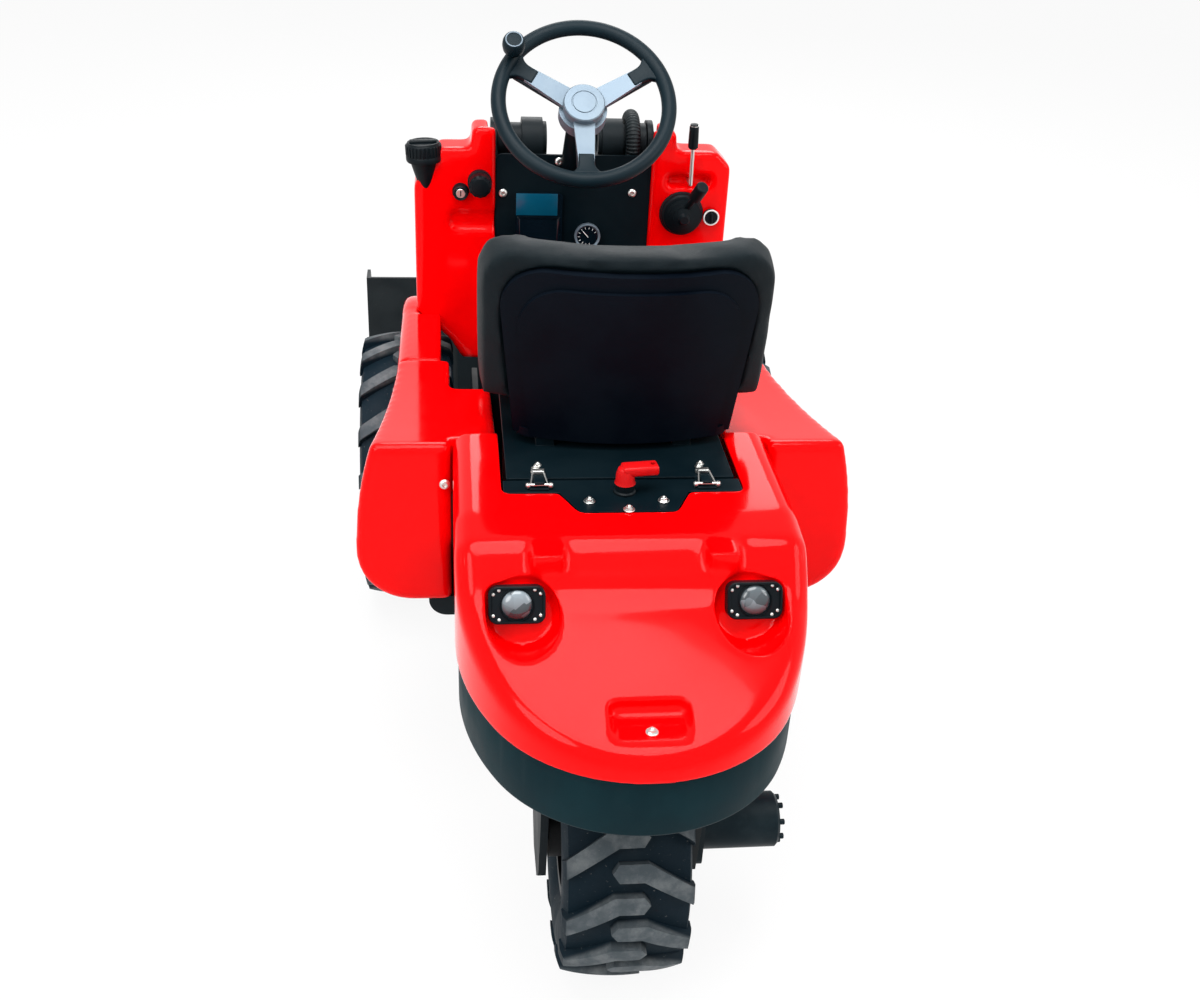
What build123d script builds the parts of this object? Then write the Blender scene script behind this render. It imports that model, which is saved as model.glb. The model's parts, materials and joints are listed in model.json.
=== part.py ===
from build123d import *
import math
import os

# Three-wheel mini loader, millimetres, +X right, +Y forward, +Z up.
# Stations along the machine are measured forward from the rear axle, and the
# finished pieces move together so that the origin is under the middle of the box.

# Fits shared by every seat, pin and bearing
seat_gap = 0.3            # between pieces that rest on each other without touching
pin_gap = 0.4             # radial, between a pin and its bore
run_gap = 6.0             # between moving pieces

# Rear wheel (18 x 8.50-8) and front wheels (23 x 8.50-12)
rear_tyre_radius = 228.0
rear_bead_radius = 101.6
front_tyre_radius = 292.0
front_bead_radius = 152.4
tyre_width = 196.0
tread_width = 184.0
crown_drop = 12.0
lug_height = 17.0
lug_stand = 2.5           # how far a lug stands out of the sidewall
lug_half = 14.0           # half its length round the tread
lug_leg = 46.0            # how far its leg trails behind its head
lug_bend_x = 25.0         # where the leg meets the head
lug_tip_x = 28.0          # pointed end of the head, past the middle
rear_lugs = 14            # on each side of a tread
front_lugs = 18
rim_width = 160.0
rim_wall = 5.0
rim_lip = 12.0
disc_thickness = 9.0
hub_radius = 46.0
axle_radius = 20.0
front_axle_y = 1092.0
front_track = 682.0       # between the middles of the front tyres

# Rear fork
fork_gap = 14.0           # beside the tyre
fork_leg = 12.0
fork_crown = 18.0
fork_clear = 10.0         # above the tyre
fork_half_depth = 84.0
leg_foot_radius = 70.0
kingpin_radius = 60.0
kingpin_length = 70.0
slew_radius = 104.0
slew_height = 10.0
motor_radius = 44.0
motor_flange = 104.0
motor_flange_depth = 14.0
motor_length = 125.0

# Counterweight and rear cowl
stern_half_width = 250.0
stern_depth = 311.0       # from the rear axle back to the cowl's tail
stern_side_radius = 400.0
weight_height = 95.0
weight_inset = 6.0
cowl_wall = 8.0
cowl_height = 191.0       # from its lower edge to the deck
cowl_front_y = 300.0
cowl_round = 30.0
deck_lip_y = 53.0
deck_tail_y = -15.0
deck_drop = 10.0          # fall of the deck from its lip to its tail
brow_y = -72.0
brow_drop = 66.0
brow_bend = 90.0
deck_bend = 40.0
tail_lip = 34.0           # upright height of the cowl at its tail
bay_half_width = 177.0    # opening in the deck
bay_rear_y = 109.0
tongue_half_width = 70.0
tongue_root_half_width = 96.0
pad_inner_x = 100.0       # raised pads beside the deck
pad_width = 46.0
pad_rear_y = -52.0
lamp_x = 165.0
lamp_y = -66.0
lamp_z = 704.0
lamp_width = 78.0
lamp_height = 52.0
lamp_depth = 16.0
lamp_tilt = 24.0
lens_radius = 20.0
lens_depth = 5.0
scoop_margin = 3.0
scoop_reach = 110.0
bowl_radius = 47.0        # round pocket under each lamp
bowl_in = 8.0
bowl_down = 12.0
recess_width = 106.0
recess_rise = 46.0        # of the recess's floor above the cowl's lower edge
recess_wall_y = -221.0
recess_corner = 10.0

# Frame
frame_half_width = 202.0
plate = 12.0
thin_plate = 6.0
belly_z = 200.0
frame_top_z = 480.0
frame_rear_y = 285.0
frame_front_y = 1190.0
floor_z = 330.0
toe_y = 1058.0
toe_top_z = 556.0
riser_y = 606.0
nose_top_z = 330.0
tray_drop = 38.0
tray_width = 88.0
eye_bore = 14.0           # lashing eyes on the nose of the frame
eye_plate = 30.0
eye_x = 120.0

# Engine under the seat
engine_half_width = 160.0
engine_rear_y = 320.0
engine_length = 255.0
engine_headroom = 88.0    # under the lid

# Side boxes and front mudguards
box_inner_x = 252.0
box_top_x = 377.0
box_bulge_x = 408.0
box_rear_corner = 92.0
box_front_corner = 60.0
box_rear_y = 268.0
box_mid_y = 470.0
box_front_gap = 50.0      # behind the front tyre
box_rear_top_z = 773.0
box_front_top_z = 700.0
box_front_x = 352.0
box_bottom_z = 480.0
box_round = 12.0
shoulder_x = 180.0        # inner edge of the box beside the seat lid
shoulder_depth = 90.0
guard_inner_x = 268.0
guard_outer_x = 350.0
guard_depth = 44.0        # of the guard above its wheel arch
guard_sweep = 40.0        # how far its nose goes round past the axle
guard_foot_z = 490.0
guard_gap = 3.0           # to the console above it
arch_gap = 34.0
guard_round = 22.0

# Dash and consoles
dash_y = 1072.0
dash_half_width = 156.0
dash_bottom_z = 560.0
dash_top_z = 998.0
console_y = 1060.0
console_depth = 80.0
console_half_width = 318.0
console_foot_x = 224.0      # inside the front tyre
console_heel_x = 250.0
heel_gap = 20.0           # above the front tyre
heel_rise = 64.0
console_top_z = 1010.0
ear_width = 48.0
ear_top_z = 1051.0
console_round = 14.0
left_corner = (50.0, 75.0)    # how far in and down the left console's outer corner is cut
right_corner = (30.0, 30.0)
slot_x = 234.0
slot_z = 951.0
slot_width = 86.0
slot_height = 24.0
slot_depth = 22.0
pocket_x = 247.0          # outer end of the left console's hand pocket
pocket_top_z = 884.0
pocket_bottom_z = 845.0
pocket_depth = 10.0
display_x = -68.0
display_z = 868.0
display_width = 94.0
display_height = 108.0
display_depth = 10.0
gauge_x = 32.0
gauge_z = 834.0
gauge_radius = 26.0
neck_x = 294.0
neck_z = 930.0
neck_lean = 3.0
neck_radius = 28.0
neck_foot_radius = 14.0
neck_back = 14.0          # from the console's rear face
neck_rise = 52.0
cap_radius = 34.0
cap_height = 36.0
boot_x = 222.0
boot_z = 886.0
boot_radius = 43.0
boot_height = 18.0
stick_radius = 6.0
stick_reach = (16.0, -42.0, 52.0)
grip_radius = 13.0
lever_radius = 4.0
lever_out = 16.0
lever_rise = (-2.0, -6.0, 76.0)
lever_grip = 9.0
# place across, height, radius, how far it stands out
key_switch = (-226.0, 926.0, 14.0, 16.0)
fluted_knob = (-188.0, 946.0, 22.0, 40.0)
ringed_knob = (283.0, 881.0, 15.0, 14.0)

# Boom, with stations along it from its pivot to the bucket pin
pivot_y = 1150.0
pivot_z = 1005.0
bucket_pin_y = 1570.0
bucket_pin_z = 160.0
arm_inner_x = 60.0
arm_outer_x = 102.0
arm_root_half = 46.0
arm_tip_half = 36.0
sleeve_inner_x = 52.0
sleeve_outer_x = 150.0
sleeve_radius = 35.0
pivot_pin = 22.0
bucket_pin = 18.0
tower_inner_x = 152.0
tower_rear_y = 1086.0
tower_head = 44.0
collar_width = 12.0
collar_rise = 3.0
cross_radius = 26.0
hose_x = 121.0
hose_radius = 13.5
hose_bend = 50.0
hose_rear_angle = 205.0
hose_run = 330.0
hose_block = 46.0

# Lift and tilt cylinders
eye_half = 20.0           # half width of a cylinder eye
eye_radius = 21.0
cylinder_pin = 12.0
lug_plate = 12.0
lug_radius = 25.0
lift_base_y = 1150.0
lift_base_z = 405.0
lift_eye_s = 210.0
lift_tube_t = 56.0
lift_barrel = 32.0
lift_rod = 16.0
lift_barrel_end = 385.0
lift_rod_length = 371.0
lift_draw = 0.0
tilt_base_s = 385.0
tilt_base_t = 40.0
tilt_tube_t = -28.0
tilt_eye_y = 36.0         # from the bucket pin
tilt_eye_z = 93.0
tilt_barrel = 27.0
tilt_rod = 14.0
tilt_barrel_end = 425.0
tilt_rod_length = 275.0
tilt_draw = 36.0          # how far the rod draws in from where it parks

# Hitch plate and bucket, with places from the bucket pin
hitch_y = 106.0
hitch_plate = 12.0
hitch_half_width = 230.0
hitch_bottom = -118.0
hitch_top = 200.0
ear_plate = 9.0
ear_gap = 2.0
bucket_half_width = 457.0
bucket_sheet = 8.0
bucket_floor = -142.0
bucket_back_top = 340.0
bucket_bend = 110.0
bucket_reach = 500.0
bucket_brow = 60.0
edge_depth = 70.0
edge_height = 16.0

# Steering wheel
wheel_y = 916.0
wheel_z = 1140.0
wheel_lean = 45.5         # of its axis above level, towards the operator
rim_ring_radius = 158.0
rim_ring_section = 14.0
hub_cap_radius = 38.0
hub_cap_height = 22.0
hub_base_radius = 45.0
hub_base_height = 26.0
wheel_dish = 18.0
spoke_root = 42.0
spoke_tip = 24.0
spoke_thickness = 8.0
spoke_angles = (30.0, 150.0, 270.0)
spinner_angle = 145.0
spinner_radius = 20.0
spinner_height = 36.0
spinner_post = 8.0
column_radius = 26.0
shaft_radius = 10.0
shaft_length = 46.0
column_length = 320.0

# Seat on its lid
lid_rear_y = 152.0
lid_front_y = 594.0
lid_half_width = 171.0
lid_top_z = 778.0
lid_plate = 8.0
hinge_y = 604.0
hinge_z = 770.0
knuckle_radius = 7.0
hinge_pin = 4.0
knuckle_length = 46.0
seat_rail = 14.0
latch_x = 124.0           # toggle latches behind the lid
latch_half_width = 14.0
latch_length = 34.0
latch_base = 4.0
latch_lever_half = 11.0
latch_lever_length = 24.0
latch_lever_height = 8.0
key_base_radius = 17.0     # battery isolator
key_base_height = 16.0
key_stem_radius = 12.0
key_stem_height = 18.0
key_tail = 10.0
key_reach = 42.0
key_half_width = 8.0
key_thickness = 12.0
seat_x = 14.0             # the seat stands a little to the right
pan_half_width = 168.0
pan_rear_y = 255.0
pan_front_y = 615.0
pan_height = 14.0
cushion_half_width = 205.0
cushion_height = 78.0
bolster_width = 38.0
bolster_height = 118.0
bolster_length = 250.0
back_radius = 470.0
back_rear_y = 243.0
back_half_width = 228.0
back_foot_half_width = 170.0
back_top_z = 1100.0
back_shell = 22.0
back_panel = 7.0
back_panel_margin = 24.0
back_cushion = 55.0
back_lean = 7.0
back_corner = 70.0
back_rim = 28.0           # how far the cushion goes past the shell
back_rim_set = 4.0        # its rear face in front of the shell's
wing_half_width = 224.0
wing_z = 838.0            # lower ends of the cushion

# Places worked out from the sizes above
crown_z = 2 * rear_tyre_radius + fork_clear
weight_z = crown_z + fork_crown + seat_gap + slew_height
cowl_z = weight_z + weight_height
deck_z = cowl_z + cowl_height
lamp_back = -lamp_depth / 2 - seat_gap
fork_inner_x = tyre_width / 2 + fork_gap
box_front_y = front_axle_y - front_tyre_radius - box_front_gap
console_heel_z = 2 * front_tyre_radius + heel_gap
console_knee_z = console_heel_z + heel_rise
hub_depth = hub_cap_height + hub_base_height
fork_outer_x = fork_inner_x + fork_leg
frame_inner_x = frame_half_width - plate
floor_front_y = toe_y
bucket_front_y = bucket_pin_y + bucket_reach
boom_length = math.hypot(bucket_pin_y - pivot_y, bucket_pin_z - pivot_z)
boom_angle = math.atan2(bucket_pin_z - pivot_z, bucket_pin_y - pivot_y)
box_to_origin = Pos(0, (stern_depth - bucket_front_y) / 2, 0)
lug_inner_x = eye_half + seat_gap
lug_outer_x = lug_inner_x + lug_plate
tower_outer_x = tower_inner_x + plate


def slab(x0, x1, y0, y1, z0, z1):
    """A box between two corners."""
    middle = Pos((x0 + x1) / 2, (y0 + y1) / 2, (z0 + z1) / 2)
    return middle * Box(x1 - x0, y1 - y0, z1 - z0)


def side_prism(points, x0, x1):
    """A prism of a side outline of (y, z) points between two x."""
    outline = Polyline(*[(x0, y, z) for y, z in points], close=True)
    return extrude(make_face(outline), amount=x1 - x0, dir=(1, 0, 0))


def front_prism(points, y0, y1):
    """A prism of a front outline of (x, z) points between two y."""
    outline = Polyline(*[(x, y0, z) for x, z in points], close=True)
    return extrude(make_face(outline), amount=y1 - y0, dir=(0, 1, 0))


def plan_prism(points, z0, z1):
    """A prism of a plan outline of (x, y) points between two z."""
    outline = Polyline(*[(x, y, z0) for x, y in points], close=True)
    return extrude(make_face(outline), amount=z1 - z0, dir=(0, 0, 1))


def bar(start, end, radius):
    """A round bar between two points."""
    run = Vector(*end) - Vector(*start)
    return extrude(Plane(origin=start, z_dir=run) * Circle(radius), amount=run.length)


def across(y, z, radius, x0, x1):
    """A round bar along X."""
    return bar((x0, y, z), (x1, y, z), radius)


def both_sides(piece):
    """A piece and its mirror image in the middle plane."""
    return piece + mirror(piece, about=Plane.YZ)


def pair(piece):
    """A piece and its mirror image as two solids that stay apart."""
    return Compound(children=[piece, mirror(piece, about=Plane.YZ)])


def on_boom(s, t):
    """The place (y, z) at station s along the boom and t in front of its line."""
    y = pivot_y + s * math.cos(boom_angle) - t * math.sin(boom_angle)
    z = pivot_z + s * math.sin(boom_angle) + t * math.cos(boom_angle)
    return y, z


def save(name, shape):
    """Moves a finished piece to the shared origin and writes it."""
    export_step(box_to_origin * shape, f"parts/{name}.step")


# Wheels
def tyre_form(radius, bead, inset):
    """A smooth tyre turned about X at the origin, with its sides set in."""
    half = tyre_width / 2 - inset
    tread = tread_width / 2 - inset
    shoulder = radius - crown_drop
    seat = rim_width / 2
    middle = (bead + shoulder) / 2
    bead_side = bead + seat_gap
    lip = bead + rim_lip + seat_gap * 4
    edges = [
        Line((-seat, bead_side, 0), (-seat, lip, 0)),
        ThreePointArc((-seat, lip, 0), (-half, middle, 0), (-tread, shoulder, 0)),
        ThreePointArc((-tread, shoulder, 0), (0, radius, 0), (tread, shoulder, 0)),
        ThreePointArc((tread, shoulder, 0), (half, middle, 0), (seat, lip, 0)),
        Line((seat, lip, 0), (seat, bead_side, 0)),
        Line((seat, bead_side, 0), (-seat, bead_side, 0)),
    ]
    return revolve(make_face(edges), Axis.X)


def lug_block(radius):
    """One lug at the top of a tyre: a leg from the left shoulder and a pointed head across the middle."""
    shoulder = -tyre_width / 2
    point = lug_tip_x - lug_half * 0.7
    outline = [
        (shoulder, -lug_leg - lug_half), (-lug_bend_x + lug_half / 2, -lug_half), (point, -lug_half),
        (lug_tip_x, 0), (point, lug_half), (-lug_bend_x, lug_half), (shoulder, -lug_leg + lug_half),
    ]
    return plan_prism(outline, radius - lug_height * 3, radius)


def tyre(radius, bead, count):
    """A tyre about X at the origin, with lugs from both shoulders by turns."""
    carcass = tyre_form(radius - lug_height, bead, lug_stand)
    left = lug_block(radius) & tyre_form(radius, bead, 0)
    right = mirror(left, about=Plane.YZ)
    pitch = 360 / count
    lugs = []
    for step in range(count):
        lugs.append(Rot(step * pitch, 0, 0) * left)
        lugs.append(Rot((step + 0.5) * pitch, 0, 0) * right)
    return carcass + lugs


def rim(bead, disc_x, hub_x0, hub_x1):
    """A drop-free steel rim with a flat disc and a bored hub, about X at the origin."""
    half = rim_width / 2
    outer = bead
    inner = bead - rim_wall
    lip_x = half + rim_wall
    barrel = [
        (-lip_x, inner), (lip_x, inner), (lip_x, outer + rim_lip), (half + seat_gap, outer + rim_lip),
        (half + seat_gap, outer), (-half - seat_gap, outer), (-half - seat_gap, outer + rim_lip),
        (-lip_x, outer + rim_lip),
    ]
    turned = revolve(make_face(Polyline(*[(x, r, 0) for x, r in barrel], close=True)), Axis.X)
    disc = bar((disc_x, 0, 0), (disc_x + disc_thickness, 0, 0), inner)
    hub = bar((hub_x0, 0, 0), (hub_x1, 0, 0), hub_radius)
    bore = bar((hub_x0 - 1, 0, 0), (hub_x1 + 1, 0, 0), axle_radius + pin_gap)
    return turned + disc + hub - bore


def rear_wheel():
    """The single rear wheel, held in its fork."""
    place = Pos(0, 0, rear_tyre_radius)
    hub_half = fork_inner_x - run_gap
    save("rear_tyre", place * tyre(rear_tyre_radius, rear_bead_radius, rear_lugs))
    save("rear_rim", place * rim(rear_bead_radius, -disc_thickness / 2, -hub_half, hub_half))


def front_wheels():
    """Two driven front wheels, with the disc towards the outside."""
    for side, name in ((-1, "left"), (1, "right")):
        place = Pos(side * front_track / 2, front_axle_y, front_tyre_radius)
        hub_in = -tyre_width / 2 + disc_thickness
        wheel = rim(front_bead_radius, disc_thickness, hub_in, disc_thickness * 3)
        if side < 0:
            wheel = mirror(wheel, about=Plane.YZ)
        save(f"front_{name}_tyre", place * tyre(front_tyre_radius, front_bead_radius, front_lugs))
        save(f"front_{name}_rim", place * wheel)


def hub_motors():
    """Wheel motors on the frame's sides, each with its shaft in the wheel's hub."""
    hub_face = front_track / 2 - tyre_width / 2 + disc_thickness
    face = hub_face - run_gap
    body = across(front_axle_y, front_tyre_radius, motor_radius * 2, frame_half_width, face - disc_thickness)
    nose = across(front_axle_y, front_tyre_radius, motor_radius, face - disc_thickness, face)
    shaft_end = front_track / 2 + disc_thickness
    shaft = across(front_axle_y, front_tyre_radius, axle_radius, face, shaft_end)
    save("front_hub_motors", pair(body + nose + shaft))


# Rear fork
def fork():
    """Crown, legs, kingpin and the stub axles that carry the rear wheel."""
    axle_z = rear_tyre_radius
    crown = slab(-fork_outer_x, fork_outer_x, -fork_half_depth, fork_half_depth,
                 crown_z, crown_z + fork_crown)
    crown = fillet(crown.edges().filter_by(Axis.Z), leg_foot_radius / 2)
    foot = leg_foot_radius
    leg_outline = [
        (-fork_half_depth, crown_z), (-fork_half_depth, axle_z + foot), (-foot, axle_z - foot / 2),
        (-foot / 2, axle_z - foot), (foot / 2, axle_z - foot), (foot, axle_z - foot / 2),
        (fork_half_depth, axle_z + foot), (fork_half_depth, crown_z),
    ]
    legs = both_sides(side_prism(leg_outline, fork_inner_x, fork_outer_x))
    stubs = both_sides(across(0, axle_z, axle_radius, fork_inner_x / 3, fork_inner_x))
    pin_top = crown_z + fork_crown + kingpin_length
    kingpin = bar((0, 0, crown_z + fork_crown), (0, 0, pin_top), kingpin_radius)
    return crown + legs + stubs + kingpin


def rear_motor():
    """Wheel motor on the outside of the right leg."""
    axle_z = rear_tyre_radius
    x1 = fork_outer_x + motor_flange_depth
    half = motor_flange / 2
    flange = slab(fork_outer_x, x1, -half, half, axle_z - half, axle_z + half)
    flange = fillet(flange.edges().filter_by(Axis.X), half / 3)
    body = across(0, axle_z, motor_radius, x1, x1 + motor_length)
    body = chamfer(body.edges().sort_by(Axis.X)[-1], rim_wall)
    return flange + body


# Counterweight and cowl
def stern_face(inset, front_y, z):
    """The round-tailed plan outline of the counterweight and cowl, from straight sides and tangent arcs."""
    a = stern_half_width - inset
    b = stern_depth - inset
    big = stern_side_radius - inset
    small = (big ** 2 - (big - a) ** 2 - b ** 2) / (2 * (big - b))
    lean = math.atan2(b - small, big - a)
    tx = small * math.cos(lean)
    ty = -(b - small) - small * math.sin(lean)
    mid = lean / 2
    mx = a - big + big * math.cos(mid)
    my = -big * math.sin(mid)
    edges = [
        Line((-a, front_y, z), (a, front_y, z)),
        Line((a, front_y, z), (a, 0, z)),
        ThreePointArc((a, 0, z), (mx, my, z), (tx, ty, z)),
        ThreePointArc((tx, ty, z), (0, -b, z), (-tx, ty, z)),
        ThreePointArc((-tx, ty, z), (-mx, my, z), (-a, 0, z)),
        Line((-a, 0, z), (-a, front_y, z)),
    ]
    return make_face(edges)


def counterweight():
    """The cast tail weight, with the slew ring and the bore of the kingpin."""
    block = extrude(stern_face(weight_inset, frame_rear_y, weight_z), amount=weight_height, dir=(0, 0, 1))
    block = fillet(block.edges().group_by(Axis.Z)[0], weight_inset)
    ring = bar((0, 0, weight_z - slew_height), (0, 0, weight_z), slew_radius)
    top = weight_z - slew_height + kingpin_length
    bore = bar((0, 0, weight_z - slew_height), (0, 0, top + run_gap), kingpin_radius + pin_gap)
    return block + ring - bore


def cowl_blank(inset, bottom):
    """The cowl's outer form, or its hollow when it is set in by the wall."""
    top = deck_z - inset
    rise = stern_depth + run_gap
    profile = [
        (cowl_front_y + inset, bottom), (-rise, bottom), (-rise, cowl_z + tail_lip - inset),
        (brow_y, deck_z - brow_drop - inset), (deck_tail_y, deck_z - deck_drop - inset),
        (deck_lip_y, top), (cowl_front_y + inset, top),
    ]
    wide = stern_half_width + run_gap
    form = side_prism(profile, -wide, wide)
    for turn_y, turn_radius in ((brow_y, brow_bend), (deck_tail_y, deck_bend), (deck_lip_y, deck_bend)):
        ridge = [e for e in form.edges().filter_by(Axis.X) if abs(e.center().Y - turn_y) < 1]
        form = fillet(ridge, turn_radius)
    outline = extrude(stern_face(inset, cowl_front_y + inset, bottom), amount=cowl_height * 2, dir=(0, 0, 1))
    return form & outline


def cowl():
    """Rounded tail cowl with its deck opening, lamp scoops and lower recess."""
    skin = cowl_blank(0, cowl_z)
    rim_edges = [e for e in skin.edges() if on_cowl_rim(e)]
    form = fillet(rim_edges, cowl_round)
    pad = slab(pad_inner_x, pad_inner_x + pad_width, pad_rear_y, deck_lip_y,
               cowl_z + tail_lip, deck_z - deck_drop)
    pad = fillet(pad.edges().filter_by(Axis.Z), run_gap)
    form = form + both_sides(pad)
    cup = lamp_place() * lamp_scoop(scoop_margin + cowl_wall, lamp_back - cowl_wall)
    scoop = lamp_place() * lamp_scoop(scoop_margin, lamp_back)
    tail_y = -stern_depth - run_gap
    half = recess_width / 2
    floor = cowl_z + recess_rise
    recess = slab(-half, half, tail_y, recess_wall_y, floor, deck_z)
    recess = fillet(recess.edges().filter_by(Axis.Z).sort_by(Axis.Y)[-2:], recess_corner)
    pocket = slab(-half - cowl_wall, half + cowl_wall, tail_y, recess_wall_y + cowl_wall,
                  floor - cowl_wall, deck_z)
    skin = form - cowl_blank(cowl_wall, cowl_z - cowl_wall) - deck_opening(0, cowl_front_y + cowl_wall)
    skin = skin + ((both_sides(cup) + pocket) & form)
    return skin - both_sides(scoop) - recess


def on_cowl_rim(edge):
    """True for the upper edges that run round the cowl's sides and tail."""
    middle = edge @ 0.5
    above = middle.Z > cowl_z + tail_lip / 2
    corner = abs(middle.X) > stern_half_width - 1
    tail = middle.Y < 0 and abs(middle.X) > 1 and edge.geom_type != GeomType.LINE
    level = abs((edge % 0.5).Z) < 0.999
    straight_tail = middle.Y < -stern_depth / 2 and edge.geom_type != GeomType.LINE
    return above and level and (corner or tail or straight_tail) and middle.Y < cowl_front_y - 1


def deck_opening(gap, front_y):
    """The opening in the deck, with its tongue at the rear, less a gap all round."""
    points = [
        (bay_half_width - gap, front_y), (bay_half_width - gap, bay_rear_y + gap),
        (tongue_root_half_width - gap, bay_rear_y + gap), (tongue_half_width - gap, deck_lip_y + gap),
        (-tongue_half_width + gap, deck_lip_y + gap), (-tongue_root_half_width + gap, bay_rear_y + gap),
        (-bay_half_width + gap, bay_rear_y + gap), (-bay_half_width + gap, front_y),
    ]
    return plan_prism(points, lid_top_z - lid_plate * 2, deck_z + run_gap)


def lamp_place():
    """The plane of the right rear lamp's face, leaning forward at its top."""
    return Pos(lamp_x, lamp_y, lamp_z) * Rot(90 - lamp_tilt, 0, 0)


def lamp_block(margin, back, front):
    """A round-cornered block of the lamp's outline, widened by a margin, between two depths."""
    half_x = lamp_width / 2 + margin
    half_y = lamp_height / 2 + margin
    block = slab(-half_x, half_x, -half_y, half_y, back, front)
    return fillet(block.edges().filter_by(Axis.Z), lamp_height / 4 + margin)


def lamp_scoop(margin, back):
    """The pocket of a lamp: its outline with a margin, and a round bowl below it."""
    bowl = Pos(-bowl_in, -bowl_down, back) * extrude(Circle(bowl_radius + margin), amount=scoop_reach - back)
    return lamp_block(margin, back, scoop_reach) + bowl


def rear_lamps():
    """Two lamp bodies with a round lens in each."""
    lens_seat = Pos(0, 0, lamp_depth / 2 - lens_depth / 2)
    hole = lens_seat * Cylinder(lens_radius + seat_gap, lens_depth)
    body = lamp_place() * (lamp_block(0, -lamp_depth / 2, lamp_depth / 2) - hole)
    lens = lamp_place() * lens_seat * Cylinder(lens_radius, lens_depth)
    save("rear_lamps", pair(body))
    save("lamp_lenses", pair(lens))


# Frame
def main_frame():
    """Side plates, belly, bulkhead, toe board, and nose with its lashing eyes."""
    bulkhead = slab(-frame_half_width, frame_half_width, frame_rear_y, frame_rear_y + plate, belly_z, cowl_z)
    belly = slab(-frame_inner_x, frame_inner_x, frame_rear_y + plate, frame_front_y, belly_z, belly_z + plate)
    side = slab(frame_inner_x, frame_half_width, frame_rear_y + plate, frame_front_y, belly_z, frame_top_z)
    toe = slab(-frame_inner_x, frame_inner_x, toe_y, toe_y + plate, belly_z + plate, toe_top_z)
    nose = slab(-frame_inner_x, frame_inner_x, frame_front_y - plate, frame_front_y,
                belly_z + plate, nose_top_z)
    eye_y = frame_front_y + eye_plate
    eye_top = belly_z + plate
    eye = slab(eye_x - eye_plate, eye_x + eye_plate, frame_front_y, eye_y, belly_z, eye_top)
    eye = eye + bar((eye_x, eye_y, belly_z), (eye_x, eye_y, eye_top), eye_plate)
    eye = eye - bar((eye_x, eye_y, belly_z - 1), (eye_x, eye_y, eye_top + 1), eye_bore)
    return bulkhead + belly + toe + nose + both_sides(side + eye)


def side_tray():
    """The tray under a side box, on the frame's side plate, with a round lower corner."""
    tray_z = box_bottom_z - tray_drop
    inner_x = frame_half_width + seat_gap
    tray = slab(inner_x, inner_x + tray_width, frame_rear_y, box_front_y, tray_z, box_bottom_z - seat_gap)
    corner = tray.edges().filter_by(Axis.Y).sort_by(Axis.X)[-2:].sort_by(Axis.Z)[0]
    return fillet(corner, tray_drop * 0.8)


def boom_tower():
    """Two upright plates with the boom's pivot pins, and the cross beam under the lift cylinder."""
    outline = [
        (tower_rear_y, belly_z + plate), (tower_rear_y, pivot_z - tower_head),
        (pivot_y - tower_head, pivot_z), (pivot_y + tower_head, pivot_z), (frame_front_y - plate, frame_top_z),
        (frame_front_y - plate, belly_z + plate),
    ]
    upright = side_prism(outline, tower_inner_x, tower_outer_x)
    head = across(pivot_y, pivot_z, tower_head, tower_inner_x, tower_outer_x)
    pin = across(pivot_y, pivot_z, pivot_pin, sleeve_inner_x + run_gap, tower_outer_x + thin_plate)
    beam_top = lift_base_z - lug_radius * 2
    beam = slab(-tower_inner_x, tower_inner_x, lift_base_y - lug_radius, frame_front_y - plate,
                beam_top - plate * 2, beam_top)
    lug = slab(lug_inner_x, lug_outer_x, lift_base_y - lug_radius, lift_base_y + lug_radius,
               beam_top, lift_base_z)
    lug = lug + across(lift_base_y, lift_base_z, lug_radius, lug_inner_x, lug_outer_x)
    base_pin = across(lift_base_y, lift_base_z, cylinder_pin, -lug_outer_x, lug_outer_x)
    return both_sides(upright + head + pin + lug) + beam + base_pin


def floor_plate():
    """Foot plate between the side plates, on its front and rear walls."""
    return slab(-frame_inner_x, frame_inner_x, riser_y, floor_front_y, floor_z, floor_z + thin_plate)


def seat_riser():
    """Upright wall under the front of the seat, with the middle knuckle and pin of the lid's hinge."""
    knuckle = knuckle_radius
    rear_y = riser_y - thin_plate
    wall_top = hinge_z - knuckle * 2
    wall = slab(-frame_inner_x, frame_inner_x, rear_y, riser_y, belly_z + plate, wall_top)
    rise = slab(-knuckle_length, knuckle_length, rear_y, riser_y, wall_top, hinge_z)
    tube = across(hinge_y, hinge_z, knuckle, -knuckle_length, knuckle_length)
    pin = across(hinge_y, hinge_z, hinge_pin, -knuckle_length * 3, knuckle_length * 3)
    return wall + rise + tube + pin


def engine_block():
    """The engine as one plain mass on the belly plate."""
    top = lid_top_z - lid_plate - engine_headroom
    block = slab(-engine_half_width, engine_half_width, engine_rear_y, engine_rear_y + engine_length,
                 belly_z + plate, top)
    return fillet(block.edges().filter_by(Axis.Z), cowl_round)


# Side boxes and mudguards
def box_section(y, top_z, top_x, bulge_x, corner):
    """The upright section of a side box at one station: bulged side and a large lower corner."""
    low_z = box_bottom_z + corner
    bend = corner * math.sqrt(0.5)
    side_mid = ((top_x + bulge_x * 3) / 4, y, (top_z + low_z) / 2)
    edges = [
        Line((box_inner_x, y, box_bottom_z), (box_inner_x, y, top_z)),
        Line((box_inner_x, y, top_z), (top_x, y, top_z)),
        ThreePointArc((top_x, y, top_z), side_mid, (bulge_x, y, low_z)),
        ThreePointArc((bulge_x, y, low_z), (bulge_x - corner + bend, y, low_z - bend),
                      (bulge_x - corner, y, box_bottom_z)),
        Line((bulge_x - corner, y, box_bottom_z), (box_inner_x, y, box_bottom_z)),
    ]
    return make_face(edges)


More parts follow.
